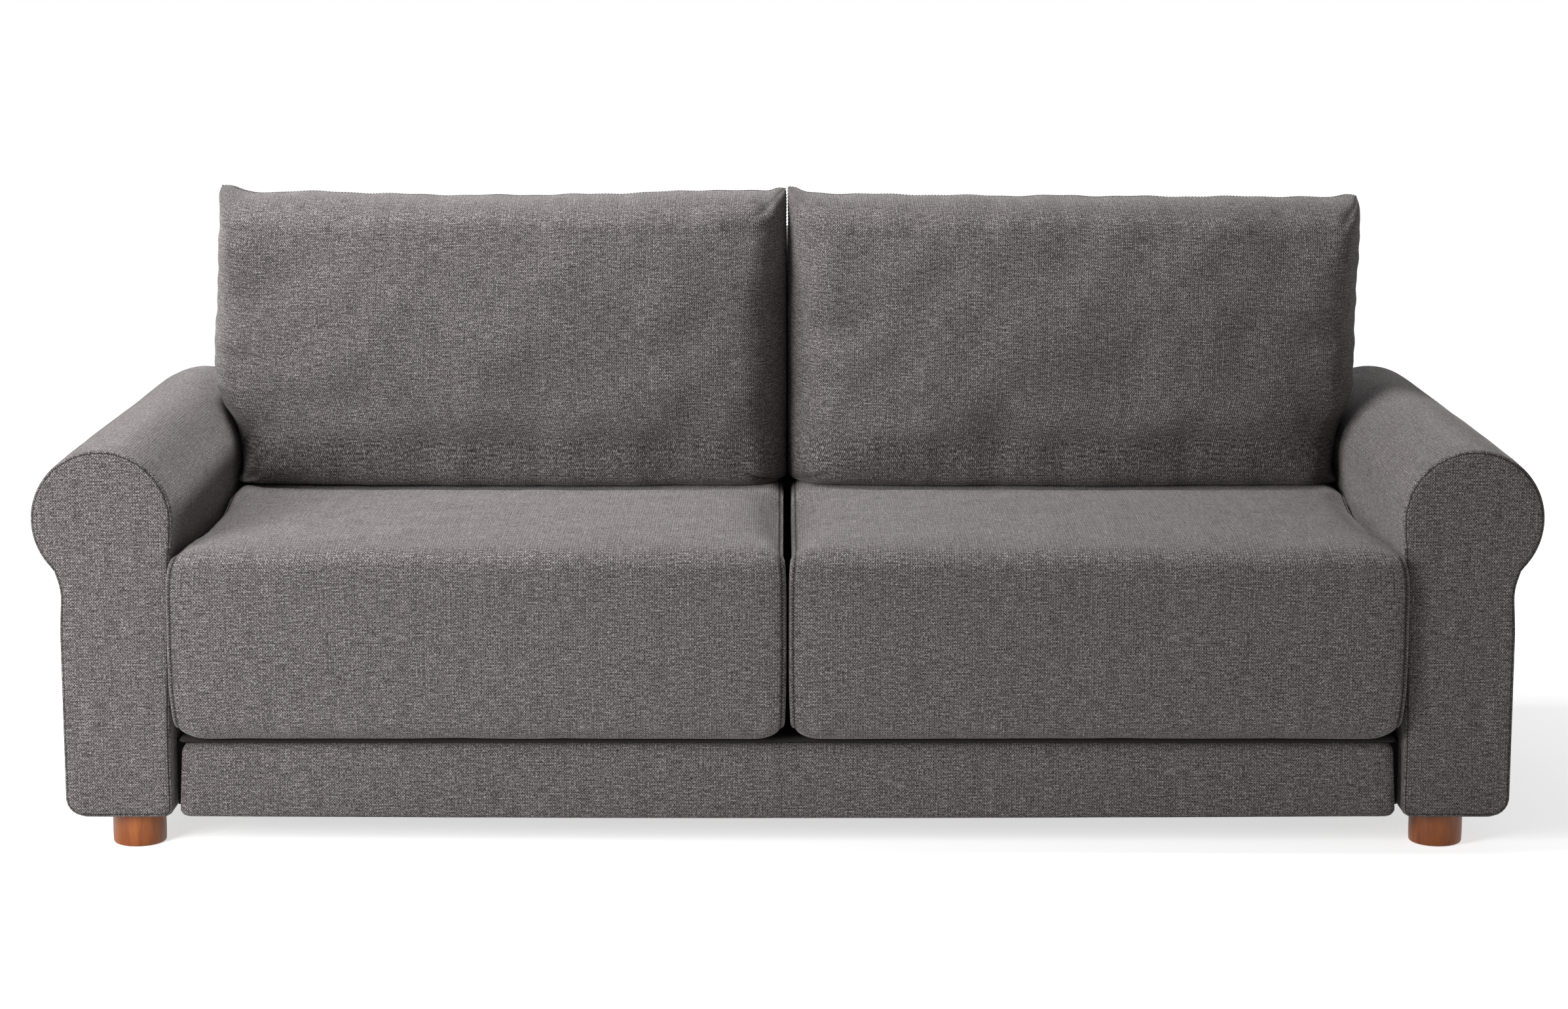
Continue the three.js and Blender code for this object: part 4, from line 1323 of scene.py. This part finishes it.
@dataclass
class BackCover(Piece):
    """The cover of the back frame, with its front leaning and a panel at either end.

    The foot is the height of its front's lower corner, and the room what the front keeps from the
    frame, whose lean starts at a height of its own.
    """

    node: str = "back_upholstery"
    lean: float = math.radians(8)
    foot: float = 0.150
    lean_start: float = 0.1696
    room: float = 0.0027
    top_front: float = 0.028
    top_rear: float = 0.034
    rear_swell: float = 0.0015
    rear_wander: float = 0.0025
    top_swell: float = 0.001
    top_wander: float = 0.0018
    edge: SewnEnd = SewnEnd(0.014, (0.006, 0.006, 0.004, 0.004), 0.003, 0.008)

    def build(self) -> None:
        """Sew the cover and its stitches."""
        self.low, self.high = low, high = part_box(self.node)
        crest = low.y + self.room + (high.z - self.lean_start) * math.tan(self.lean)
        path = rounded([(high.y, low.z, 0.012), (high.y, high.z, self.top_rear),
                        (crest, high.z, self.top_front), (low.y, self.foot, 0.008),
                        (high.y - 0.045, low.z + 0.008, 0.02)])
        sleeve = Sleeve(path, low.x, high.x, self.edge, place_along_x(1), Warp.AROUND,
                        long_axis=1, trim=0.06, step=0.010)
        panels = [panel.bent(self._shape) for panel in sleeve.panels()]
        self.upholster("back_frame_cover", "frame", self.node, panels, 0.9, end_seams(panels))

    def _shape(self, points: Array) -> Array:
        """Let the padding of the rear and the top wander a little.

        Args:
            points: a panel's points.

        Returns:
            The moved points.
        """
        moved = points.copy()
        calm = rise(self.high.x - np.abs(points[..., 0]), 0.004, 0.06)
        rear = rise(points[..., 1], self.high.y - 0.02, self.high.y)
        top = rise(points[..., 2], self.high.z - 0.02, self.high.z)
        waves = ripple(points, 0.22, 31.0)
        moved[..., 1] += rear * calm * (self.rear_swell + self.rear_wander * waves)
        moved[..., 2] += top * calm * (self.top_swell + self.top_wander * waves)
        return moved


@dataclass
class DeckPad(Piece):
    """The thin pad between the springs and the seat cushions."""

    slot: str
    node: str = "seat_deck_pad"
    corner: float = 0.0035
    edge: SewnEnd = SewnEnd(0.004, (0.003, 0.003, 0.003, 0.003), 0.001, 0.001)

    def build(self) -> None:
        """Lay the pad."""
        low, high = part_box(self.node)
        path = rounded([(y, z, self.corner) for y, z in ((low.y, high.z), (high.y, high.z), (high.y, low.z),
                                                         (low.y, low.z))])
        sleeve = Sleeve(path, low.x, high.x, self.edge, place_along_x(1), Warp.AROUND,
                        long_axis=0, trim=0.02, step=0.012, mark=0.0)
        pad = sew("seat_deck_cover", sleeve.panels(), self.finishes.slots[self.slot])
        dress(pad, "frame", [self.node])


# ------------------------------------------------------------------ loose cushions


@dataclass
class SeatCushion(Piece):
    """A loose seat cushion: a wrapped cover with boxed sides over a foam block.

    The crown is how far its top rises, the dip how far the top falls at either side, and the
    overhang how far its front bulges out over the arm's edge. The crown's end, the nose, the dip's
    start and end and the front are shares of its depth. Its room is what it may spread to the side,
    and grows by the free room between the two free depths, in front of the arm.
    """

    side: Side
    front_top: float = 0.020
    front_bottom: float = 0.034
    rear: float = 0.028
    crown: float = 0.0055
    crown_end: float = 0.80
    lip: float = 0.0045
    nose: float = 0.05
    dip: float = 0.016
    dip_reach: float = 0.030
    dip_start: float = 0.40
    dip_end: float = 0.72
    dip_fade: float = 0.14
    front: float = 0.12
    front_swell: float = 0.003
    overhang: float = 0.0125
    tuck: float = 0.0045
    arm_ends: tuple[float, float] = (0.452, 0.468)
    room: float = 0.003
    free_room: float = 0.02
    free_depths: tuple[float, float] = (0.458, 0.472)
    middle_gap: float = 0.0004
    top_wander: float = 0.0016
    front_wander: float = 0.0013
    wander_size: float = 0.085
    cell: float = 0.0075
    edge: SewnEnd = SewnEnd(0.036, (0.010, 0.007, 0.005, 0.018), 0.0065, 0.009)
    filling: Filling = Filling(4.0, 0.005)

    def build(self) -> None:
        """Sew the cover round its core and hang both on their body."""
        body = f"{self.side.word}_seat_cushion"
        node = f"{body}_cover"
        self.low, self.high = low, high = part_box(node)
        self.inner, self.outer = sorted((abs(low.x), abs(high.x)))
        path = rounded([(low.y, high.z, self.front_top), (high.y, high.z, self.rear),
                        (high.y, low.z, self.rear), (low.y, low.z, self.front_bottom)])
        sleeve = Sleeve(path, self.inner, self.outer, self.edge, place_along_x(self.side.value),
                        Warp.AROUND, long_axis=0, trim=0.12, step=self.cell)
        fine = [panel.bent(self._shape) for panel in sleeve.panels()]
        rough = [panel.bent(self._shape) for panel in sleeve.panels(self.filling.cell)]
        fine = self.filling.swell(rough, fine)
        fine = [panel.bent(self._held) for panel in fine]
        self.upholster(f"{body}_sewn", body, node, fine, 0.8, end_seams(fine))
        FoamBlock(self.finishes, f"{body}_core", body).build()

    def _shape(self, points: Array) -> Array:
        """Crown the top, push the front and the outer side out over the arm's edge.

        Args:
            points: a panel's points.

        Returns:
            The moved points.
        """
        moved = points.copy()
        across = (np.abs(points[..., 0]) - self.inner) / (self.outer - self.inner)
        along = (points[..., 1] - self.low.y) / (self.high.y - self.low.y)
        up = (points[..., 2] - self.low.z) / (self.high.z - self.low.z)
        wide = 1 - (2 * across - 1) ** 6
        hump = np.sin(np.pi * np.clip(along / self.crown_end, 0, 1)) ** 0.8
        lip = self.lip * rise(self.nose - along, 0, self.nose)
        moved[..., 2] += rise(up, 0.5, 1.0) * (self.crown * wide * hump - lip)
        # The top falls away towards both sides, but not at the front edge or under the back cushion.
        inward = np.minimum(np.abs(points[..., 0]) - self.inner, self.outer - np.abs(points[..., 0]))
        sides = rise(up, 0.75, 1.0) * rise(along, self.nose, self.dip_start)
        sides = sides * rise(self.dip_end - along, 0, self.dip_fade)
        moved[..., 2] -= sides * self.dip * np.exp(-(inward / self.dip_reach) ** 2)
        # In front of the arms nothing holds the cushion, so its front grows wider there.
        free = rise(-points[..., 1], *self.arm_ends)
        off = np.abs(2 * up - 1)
        tall = np.clip(1 - np.where(up > 0.5, off ** 7, off ** 3), 0, 1)
        near = rise(self.front - along, 0, self.front)
        moved[..., 1] -= near * self.front_swell * tall * wide
        lean = self.overhang * free * tall * np.clip(across, 0, 1) ** 6
        moved[..., 0] += self.side.value * (lean - self.tuck * free * tall * np.clip(1 - across, 0, 1) ** 6)
        waves = ripple(points, self.wander_size, 41.0 + 7 * self.side.value)
        moved[..., 2] += rise(up, 0.6, 1.0) * self.top_wander * waves
        moved[..., 1] -= near * self.front_wander * waves
        return moved

    def _held(self, points: Array) -> Array:
        """Keep the cushion on the deck, off its neighbour, the arm and the back.

        Args:
            points: a panel's points.

        Returns:
            The points, moved to where there is room.
        """
        held = points.copy()
        away = np.abs(points[..., 0])
        beside = self.outer + self.room + self.free_room * rise(-points[..., 1], *self.free_depths)
        held[..., 0] = self.side.value * np.clip(away, self.middle_gap, beside)
        held[..., 1] = np.minimum(points[..., 1], self.high.y)
        under = rise(points[..., 1], 0.02, 0.055)
        top = np.where(under > 0, self.high.z + 0.006 * (1 - under), 1.0)
        held[..., 2] = np.clip(points[..., 2], self.low.z, top)
        return held


@dataclass
class FoamBlock(Piece):
    """The foam inside a loose cushion, cut to the core's place.

    The shrink is its room to the core's box. The trim is what its outer end leaves free.
    """

    node: str
    body: str
    lean: float = 0.0
    shrink: float = 0.026
    corner: float = 0.040
    trim: float = 0.0
    long_axis: int = 0
    edge: SewnEnd = SewnEnd(0.03, (0.014, 0.014, 0.014, 0.014), 0.002, 0.01)

    def build(self) -> None:
        """Cut the block."""
        low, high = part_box(self.node)
        gap, corner = self.shrink, self.corner
        mirror = -1.0 if high.x < 0 else 1.0
        inner, outer = sorted((abs(low.x), abs(high.x)))
        shift = (high.z - low.z) * math.tan(self.lean)
        path = rounded([(low.y + gap + shift, high.z - gap, corner), (high.y - gap, high.z - gap, corner),
                        (high.y - gap - shift, low.z + gap, corner), (low.y + gap, low.z + gap, corner)])
        bulge = self.edge.bulge
        sleeve = Sleeve(path, inner + gap - bulge, outer - gap - self.trim + bulge, self.edge,
                        place_along_x(mirror), Warp.AROUND, self.long_axis, trim=0.08, step=0.03)
        block = sew(f"{self.node}_foam", sleeve.panels(), self.finishes.slots["foam"])
        dress(block, self.body, [self.node])


@dataclass
class BackCushion(Piece):
    """A loose back cushion: two panels sewn together all round, fuller below and eared at its corners.

    The bow is the outer edge's distance from the middle of the sofa by height, and the ridge the top
    seam's height by the distance from the inner edge. The turns are the widths over which the panels
    curl back to the seam. The puckers have a reach from the seam and a size along it, for the side
    seams and for the top and bottom ones. The neck is drawn in behind each ear, at a distance from
    the corner and over a width. The roll is the arm's: its distance from the middle, height and
    radius, and the shoulder is the height over its centre from which it pushes straight outwards. The
    gaps are its least room to the middle of the sofa and to the back. The spread widens its inner
    side, and the crest's gap draws that side in again within a reach of the crest's height.
    """

    side: Side
    bow: Sequence[tuple[float, float]]
    ridge: Sequence[tuple[float, float]]
    width: float = 0.927
    thickness: float = 0.236
    centre: float = 0.120
    lean: float = math.radians(8)
    turn_top: float = 0.046
    turn_bottom: float = 0.050
    turn_inner: float = 0.070
    turn_outer: float = 0.050
    # How far the corners are cut in: inner and outer at the bottom, inner and outer at the top.
    corner: tuple[float, float, float, float] = (0.120, 0.022, 0.052, 0.042)
    squareness: float = 3.0
    roundness: float = 2.8
    belly: float = 0.038
    rear_fullness: float = 0.3
    softness: float = 0.008
    softness_size: float = 0.15
    pucker_top: float = 0.0042
    pucker_bottom: float = 0.0060
    pucker_reach: tuple[float, float] = (0.065, 0.075)
    pucker_size: tuple[float, float] = (0.040, 0.070)
    # Painted shade along the rim seam, from 0 to 1.
    seam_mark: float = 0.4
    ear: float = 0.010
    ear_size: float = 0.027
    neck: float = 0.06
    neck_spot: tuple[float, float] = (0.036, 0.013)
    fold: float = 0.035
    fold_reach: float = 0.06
    inner_fold: float = 0.012
    sag: float = 0.080
    sag_power: float = 2.2
    roll: tuple[float, float, float] = (0.9965, 0.495, 0.1046)
    shoulder: float = 0.03
    middle_gap: float = 0.0012
    spread: float = 0.0015
    crest_gap: float = 0.006
    crest: float = 0.922
    crest_reach: float = 0.015
    back_gap: float = 0.0015
    easing: int = 12
    cell: float = 0.0075
    filling: Filling = Filling(3.0, 0.008, slack=0.015)

    def build(self) -> None:
        """Sew the cover round its core and hang both on their body."""
        body = f"{self.side.word}_back_cushion"
        node = f"{body}_cover"
        self.low, self.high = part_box(node)
        self.inner = min(abs(self.low.x), abs(self.high.x))
        self.middle = self.low.y + self.centre
        fine = self._panels(self.cell)
        fine = self.filling.swell(self._panels(self.filling.cell), fine)
        fine = [panel.bent(self._held) for panel in self._eared(self._fitted(fine))]
        rim = fine[0].points
        route = np.concatenate([rim[0], rim[1:, -1], rim[-1, -2::-1], rim[-2::-1, 0]])
        self.upholster(f"{body}_sewn", body, node, fine, 0.75, [route])
        FoamBlock(self.finishes, f"{body}_core", body, self.lean, shrink=0.03, corner=0.06, trim=0.05,
                  long_axis=1).build()

    def _edge(self, length: float, near: float, far: float, cell: float) -> tuple[Array, Array, Array]:
        """Places across a panel that turns back at both ends.

        Args:
            length: from seam to seam.
            near: reach of the turn at the start.
            far: reach of the turn at the end.
            cell: spacing of the places.

        Returns:
            The places, how near each is to a seam from 0 to 1, and the length of cloth up to each.
        """
        turn = np.linspace(0, math.pi / 2, int(round(0.14 / cell)) + 1)
        middle = even(near, length - far, cell)[1:-1]
        places = np.concatenate([near * (1 - np.cos(turn)), middle, length - far * (1 - np.cos(turn[::-1]))])
        nearness = np.concatenate([np.cos(turn), np.zeros(len(middle)), np.cos(turn[::-1])])
        steps = np.hypot(np.diff(places), np.diff(self._share(nearness)) * self.thickness / 2)
        return places, nearness, np.concatenate([[0], np.cumsum(steps)])

    def _share(self, nearness: Array) -> Array:
        """The share of the full depth at a place, from how near it is to a seam."""
        return np.sqrt(np.clip(1 - nearness ** self.roundness, 0, 1))

    def _panels(self, cell: float) -> list[Panel]:
        """Cut the front and the rear panel.

        Args:
            cell: size of their cells.

        Returns:
            The two panels, which share their rim.
        """
        wide, tall = self.width, self.high.z - self.low.z
        across, near_side, run_u = self._edge(wide, self.turn_inner, self.turn_outer, cell)
        up, near_end, run_v = self._edge(tall, self.turn_bottom, self.turn_top, cell)
        out_u, out_v = np.meshgrid(near_side, near_end)
        u, v = np.meshgrid(across / wide, up / tall)
        near_u, near_v = self._rounded_off(u, v, out_u, out_v)
        share = self._share(out_u) * self._share(out_v) ** np.where(v < 0.5, 0.8, 1.0)
        z = self.low.z + near_v * (self._ridge(near_u) - self.low.z)
        start = self._start(z)
        x = start + near_u * (self._bow(z) - start)
        edge_u = np.exp(-(np.minimum(u, 1 - u) * wide / self.pucker_reach[0]) ** 2)
        edge_v = np.exp(-(np.minimum(v, 1 - v) * tall / self.pucker_reach[1]) ** 2)
        full = (1 - np.abs(2 * u - 1) ** 2.4) * np.sin(np.pi * np.clip(0.34 + 0.66 * v, 0, 1) ** 1.15)
        height = np.where(v < 0.5, self.pucker_bottom, self.pucker_top)
        # The rim's points get painted shade.
        seam = np.zeros(x.shape)
        seam[0] = seam[-1] = seam[:, 0] = seam[:, -1] = self.seam_mark
        threads = np.stack(np.meshgrid(run_u, run_v), -1)
        panels = []
        for face, fullness in ((-1.0, 1.0), (1.0, self.rear_fullness)):
            seed = 50 + 5 * self.side.value + face
            pucker = edge_u * ripple(np.stack([x * 0, z, z * 0], -1), self.pucker_size[0], seed)
            pucker = pucker + edge_v * ripple(np.stack([x, x * 0, x * 0], -1), self.pucker_size[1], seed + 9)
            soft = ripple(np.stack([x, z * 0, z], -1), self.softness_size, seed + 3)
            extra = (self.belly * full + self.softness * soft) * fullness
            depth = share * (self.thickness / 2 + extra + height * pucker)
            y = self.middle + (z - self.low.z) * math.tan(self.lean) + face * depth
            rest = np.stack([u, face * share, v], -1)
            points = np.stack([self.side.value * x, y, z], -1)
            panels.append(Panel(points, threads, seam, run_v, run_u, rest))
        return panels

    def _rounded_off(self, u: Array, v: Array, out_u: Array, out_v: Array) -> tuple[Array, Array]:
        """Cut the corners of the panels' grid in.

        Args:
            u: shares of the width.
            v: shares of the height.
            out_u: how near each place is to a side seam, from 0 to 1.
            out_v: how near each place is to the top or bottom seam.

        Returns:
            The moved shares of the width and the height.
        """
        most = np.maximum(out_u, out_v)
        power = self.squareness
        pull = most / np.maximum((out_u ** power + out_v ** power) ** (1 / power), 1e-9)
        pull = np.where(most > 0, 1 - pull, 0)
        cut = np.array(self.corner)[2 * (v > 0.5) + (u > 0.5)]
        turn_u = np.sign(0.5 - u) * cut / self.width
        turn_v = np.sign(0.5 - v) * cut / (self.high.z - self.low.z)
        return u + turn_u * out_u * pull, v + turn_v * out_v * pull

    def _fitted(self, panels: Sequence[Panel]) -> list[Panel]:
        """Bring the blown-up cover back to the height and width that the cushion really has.

        Args:
            panels: the two panels.

        Returns:
            The moved panels.
        """
        reach = np.max([np.abs(panel.points[..., 0]).max(1) for panel in panels], 0)
        start = np.min([np.abs(panel.points[..., 0]).min(1) for panel in panels], 0)
        crest = np.max([panel.points[..., 2].max(0) for panel in panels], 0)
        u, v = panels[0].rest[..., 0], panels[0].rest[..., 2]
        z = panels[0].points[:, -1, 2]
        outer = smoothed(self._bow(z) - reach, self.easing)[:, None]
        inner = smoothed(self._start(z) - start, self.easing)[:, None]
        wider = outer * u + inner * (1 - u)
        taller = smoothed(self._ridge(u[-1]) - crest, self.easing)[None, :] * v
        move = np.stack([self.side.value * wider, taller * math.tan(self.lean), taller], -1)
        return [panel.bent(lambda points: points + move) for panel in panels]

    def _eared(self, panels: Sequence[Panel]) -> list[Panel]:
        """Pull the corners out into small knobs with gathered folds behind them."""
        return [panel.bent(lambda points, rest=panel.rest: self._pinched(points, rest)) for panel in panels]

    def _pinched(self, points: Array, rest: Array) -> Array:
        """The points of one panel with its corners pinched.

        Args:
            points: the panel's points.
            rest: its resting places, as shares of its width and height.

        Returns:
            The moved points.
        """
        u, v = rest[..., 0], rest[..., 2]
        side, top = np.minimum(u, 1 - u) * self.width, np.minimum(v, 1 - v) * (self.high.z - self.low.z)
        reach, bearing = np.hypot(side, top), np.arctan2(top, side + 1e-6)
        knob = 1 / (1 + (reach / self.ear_size) ** 5)
        neck = np.exp(-((reach - self.neck_spot[0]) / self.neck_spot[1]) ** 2)
        folds = np.cos(8 * bearing + 3 * u + self.side.value) * np.exp(-(reach / self.fold_reach) ** 2)
        folds = folds * rise(reach, 0.008, 0.03)
        moved = points.copy()
        upward = np.where(v > 0.5, 1.0, -0.2)
        outward = np.where(u > 0.5, 0.4, -0.1)
        moved[..., 0] += self.side.value * outward * self.ear * knob
        moved[..., 2] += upward * self.ear * knob
        middle = self.middle + (points[..., 2] - self.low.z) * math.tan(self.lean)
        fold = np.where((u < 0.5) & (v > 0.5), self.inner_fold, self.fold)
        moved[..., 1] = middle + (points[..., 1] - middle) * (1 - self.neck * neck + fold * folds)
        return moved

    def _ridge(self, u: Array) -> Array:
        """The height of the top seam at each share of the width."""
        wobble = 0.0009 * np.sin(41 * u + self.side.value) + 0.0005 * np.sin(97 * u + 2)
        return self._along(self.ridge, u * self.ridge[-1][0]) + wobble

    def _bow(self, z: Array) -> Array:
        """The outer edge's distance from the middle of the sofa at each height."""
        wobble = 0.0006 * np.sin(95 * z + self.side.value) + 0.0006 * np.sin(190 * z)
        return self._along(self.bow, z) + wobble

    def _start(self, z: Array) -> Array:
        """The inner edge's distance from the middle of the sofa at each height, wider near the crest."""
        near_crest = np.exp(-np.maximum(self.crest - z, 0) / self.crest_reach)
        return self.inner - self.spread + self.crest_gap * near_crest

    @staticmethod
    def _along(table: Sequence[tuple[float, float]], places: Array) -> Array:
        """A smooth line through a table, read at some places.

        Args:
            table: places and values.
            places: where to read it.

        Returns:
            The values there.
        """
        knots, values = np.array(table).T
        fine = np.linspace(knots[0], knots[-1], 160)
        return np.interp(places, fine, smoothed(np.interp(fine, knots, values), 16))

    def _held(self, points: Array) -> Array:
        """Keep the cushion on the seat, off its neighbour, the arm's roll and the back.

        Args:
            points: a panel's points.

        Returns:
            The points, moved to where there is room.
        """
        held = points.copy()
        away = np.maximum(np.abs(points[..., 0]), self.middle_gap)
        z = np.maximum(points[..., 2], self.low.z)
        centre_x, centre_z, radius = self.roll
        out_x, out_z = away - centre_x, z - centre_z
        far = np.hypot(out_x, out_z)
        push = np.where(far < radius, radius / np.maximum(far, 1e-6), 1.0)
        # Above the roll's shoulder the cushion is pushed straight out of it, below it sideways.
        beside = centre_x - np.sqrt(np.maximum(radius ** 2 - out_z ** 2, 0))
        away = np.where((far < radius) & (out_z < self.shoulder), beside, centre_x + out_x * push)
        z = np.where(out_z < self.shoulder, z, centre_z + out_z * push)
        height = z - self.low.z
        z = np.where(height < self.sag, self.low.z + self.sag * (height / self.sag) ** self.sag_power, z)
        held[..., 0] = self.side.value * away
        held[..., 2] = z
        face = self.high.y - self.back_gap - (self.high.z - z) * math.tan(self.lean)
        held[..., 1] = np.minimum(points[..., 1], face)
        return held


# ------------------------------------------------------------------ studio


@dataclass(frozen=True)
class Lamp:
    """One soft lamp: where it hangs, where it points, how wide and how bright it is."""

    name: str
    spot: tuple[float, float, float]
    aim: tuple[float, float, float]
    size: tuple[float, float]
    power: float

    def hang(self) -> None:
        """Add the lamp to the scene."""
        light = bpy.data.lights.new(self.name, "AREA")
        light.shape = "RECTANGLE"
        light.size, light.size_y = self.size
        light.energy = self.power
        lamp = stand(self.name, light)
        lamp.location = self.spot
        lamp.rotation_euler = (Vector(self.aim) - Vector(self.spot)).to_track_quat("-Z", "Y").to_euler()


@dataclass
class Studio:
    """A pale room without walls, lit softly from the upper left, and the camera.

    The floor glows faintly round the sofa and fully from the far end of the fade, where it is white.
    """

    camera_spot: tuple[float, float, float] = (-0.0053, -5.4365, 1.369)
    camera_tilt: float = math.radians(80.3)
    lens: float = 79.86
    sensor: float = 36.0
    ambient: float = 0.022
    floor_size: float = 60.0
    floor_colour: str = "e8e8e8"
    floor_glow: float = 0.66
    fade: tuple[float, float] = (1.0, 2.6)
    lamps: tuple[Lamp, ...] = (
        Lamp("key_lamp", (-2.3, -2.5, 1.3), (-0.7, 0.0, 0.4), (1.2, 1.2), 74.0),
        Lamp("top_lamp", (-1.2, -0.10, 3.55), (-0.3, -0.15, 0.4), (1.5, 1.0), 124.0),
        Lamp("rear_lamp", (0.6, 3.6, 1.9), (0.0, 0.4, 0.5), (3.0, 1.5), 40.0),
        Lamp("side_lamp", (3.3, -1.5, 1.2), (0.5, 0.0, 0.45), (1.5, 1.5), 10.0),
    )

    def build(self) -> None:
        """Lay the floor, hang the lamps, set the world and the camera."""
        scene = bpy.context.scene
        scene.view_settings.view_transform = "Standard"
        self._floor()
        self._world(scene)
        for lamp in self.lamps:
            lamp.hang()
        data = bpy.data.cameras.new("camera")
        data.lens = self.lens
        data.sensor_width = self.sensor
        data.sensor_fit = "HORIZONTAL"
        data.clip_end = 200.0
        camera = stand("camera", data)
        camera.location = self.camera_spot
        camera.rotation_euler = (self.camera_tilt, 0.0, 0.0)
        scene.camera = camera

    @staticmethod
    def _seen(tree: Tree) -> Socket:
        """Tell the rays that come from the camera, or that gloss or glass sends on.

        Args:
            tree: the node tree.

        Returns:
            1 for such a ray and 0 for any other.
        """
        path = add(tree, "ShaderNodeLightPath").outputs
        most = path["Is Camera Ray"]
        for name in ("Is Glossy Ray", "Is Transmission Ray"):
            most = add(tree, "ShaderNodeMath", {0: most, 1: path[name]}, operation="MAXIMUM").outputs[0]
        return most

    def _floor(self) -> None:
        """A pale matt floor that shows white round the sofa's soft shadow."""
        half = self.floor_size / 2
        mesh = bpy.data.meshes.new("floor")
        corners = [(-half, -half, 0), (half, -half, 0), (half, half, 0), (-half, half, 0)]
        mesh.from_pydata(corners, [], [(0, 1, 2, 3)])
        floor = stand("floor", mesh)
        material, tree = bare_material("painted_floor")
        place = add(tree, "ShaderNodeTexCoord").outputs["Object"]
        away = add(tree, "ShaderNodeVectorMath", {0: place}, operation="LENGTH").outputs["Value"]
        start, end = self.fade
        level = add(tree, "ShaderNodeMapRange", {"Value": away, "From Min": start, "From Max": end,
                                                 "To Min": self.floor_glow, "To Max": 1.0})
        seen = add(tree, "ShaderNodeMath", {0: level.outputs[0], 1: self._seen(tree)}, operation="MULTIPLY")
        matt = add(tree, "ShaderNodeBsdfDiffuse", {"Color": linear(self.floor_colour), "Roughness": 0.5})
        glow = add(tree, "ShaderNodeEmission", {"Color": (1, 1, 1, 1), "Strength": seen.outputs[0]})
        both = add(tree, "ShaderNodeAddShader", {0: matt.outputs[0], 1: glow.outputs[0]})
        add(tree, "ShaderNodeOutputMaterial", {"Surface": both.outputs[0]})
        mesh.materials.append(material)

    def _world(self, scene: bpy.types.Scene) -> None:
        """White where it is seen, and a dim even light elsewhere.

        Args:
            scene: the scene that gets it.
        """
        world = bpy.data.worlds.new("room")
        world.use_nodes = True
        tree = world.node_tree
        tree.nodes.clear()
        seen = self._seen(tree)
        strength = add(tree, "ShaderNodeMapRange", {"Value": seen, "To Min": self.ambient, "To Max": 1.0})
        light = add(tree, "ShaderNodeBackground", {"Color": (1, 1, 1, 1), "Strength": strength.outputs[0]})
        add(tree, "ShaderNodeOutputWorld", {"Surface": light.outputs[0]})
        scene.world = world


# ------------------------------------------------------------------ the sofa


# Heights and distances from the middle of the sofa for the bows, and distances from the inner edge
# and heights for the ridges, in metres.
LEFT_BOW = ((0.452, 0.904), (0.500, 0.8925), (0.545, 0.904), (0.572, 0.924), (0.600, 0.934), (0.652, 0.938),
            (0.694, 0.936), (0.737, 0.933), (0.800, 0.930), (0.843, 0.928), (0.885, 0.924), (0.912, 0.922))
RIGHT_BOW = ((0.452, 0.904), (0.500, 0.8925), (0.545, 0.903), (0.572, 0.918), (0.600, 0.926), (0.652, 0.928),
             (0.705, 0.929), (0.769, 0.931), (0.843, 0.935), (0.885, 0.931), (0.912, 0.924))
LEFT_RIDGE = ((0.0, 0.910), (0.053, 0.914), (0.118, 0.917), (0.217, 0.913), (0.315, 0.910), (0.433, 0.908),
              (0.511, 0.908), (0.603, 0.909), (0.694, 0.912), (0.812, 0.915), (0.851, 0.912), (0.93, 0.914))
RIGHT_RIDGE = ((0.0, 0.911), (0.060, 0.911), (0.200, 0.909), (0.420, 0.907), (0.640, 0.906), (0.760, 0.906),
               (0.860, 0.905), (0.93, 0.899))


def main() -> None:
    """Build the sofa piece by piece, then the studio round it."""
    logging.basicConfig(level=logging.INFO, format="%(message)s")
    finishes = Finishes()
    pad_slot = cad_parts["seat_deck_pad"].material_slots[0].material.name.split(".")[0]
    finishes.dress_nodes()
    pieces: list[Piece] = [Leg(finishes, f"{corner}_leg")
                           for corner in ("front_left", "front_right", "rear_left", "rear_right")]
    for side in Side:
        pieces += [Arm(finishes, side), SeatCushion(finishes, side), GapLining(finishes, side)]
    pieces += [BackCushion(finishes, Side.LEFT, LEFT_BOW, LEFT_RIDGE),
               BackCushion(finishes, Side.RIGHT, RIGHT_BOW, RIGHT_RIDGE), RailCover(finishes),
               BackCover(finishes), DeckPad(finishes, pad_slot), Webbing(finishes), DustCloth(finishes)]
    for piece in pieces:
        piece.build()
        LOG.info("built: %s", type(piece).__name__)
    Studio().build()


if __name__ == "__main__":
    main()
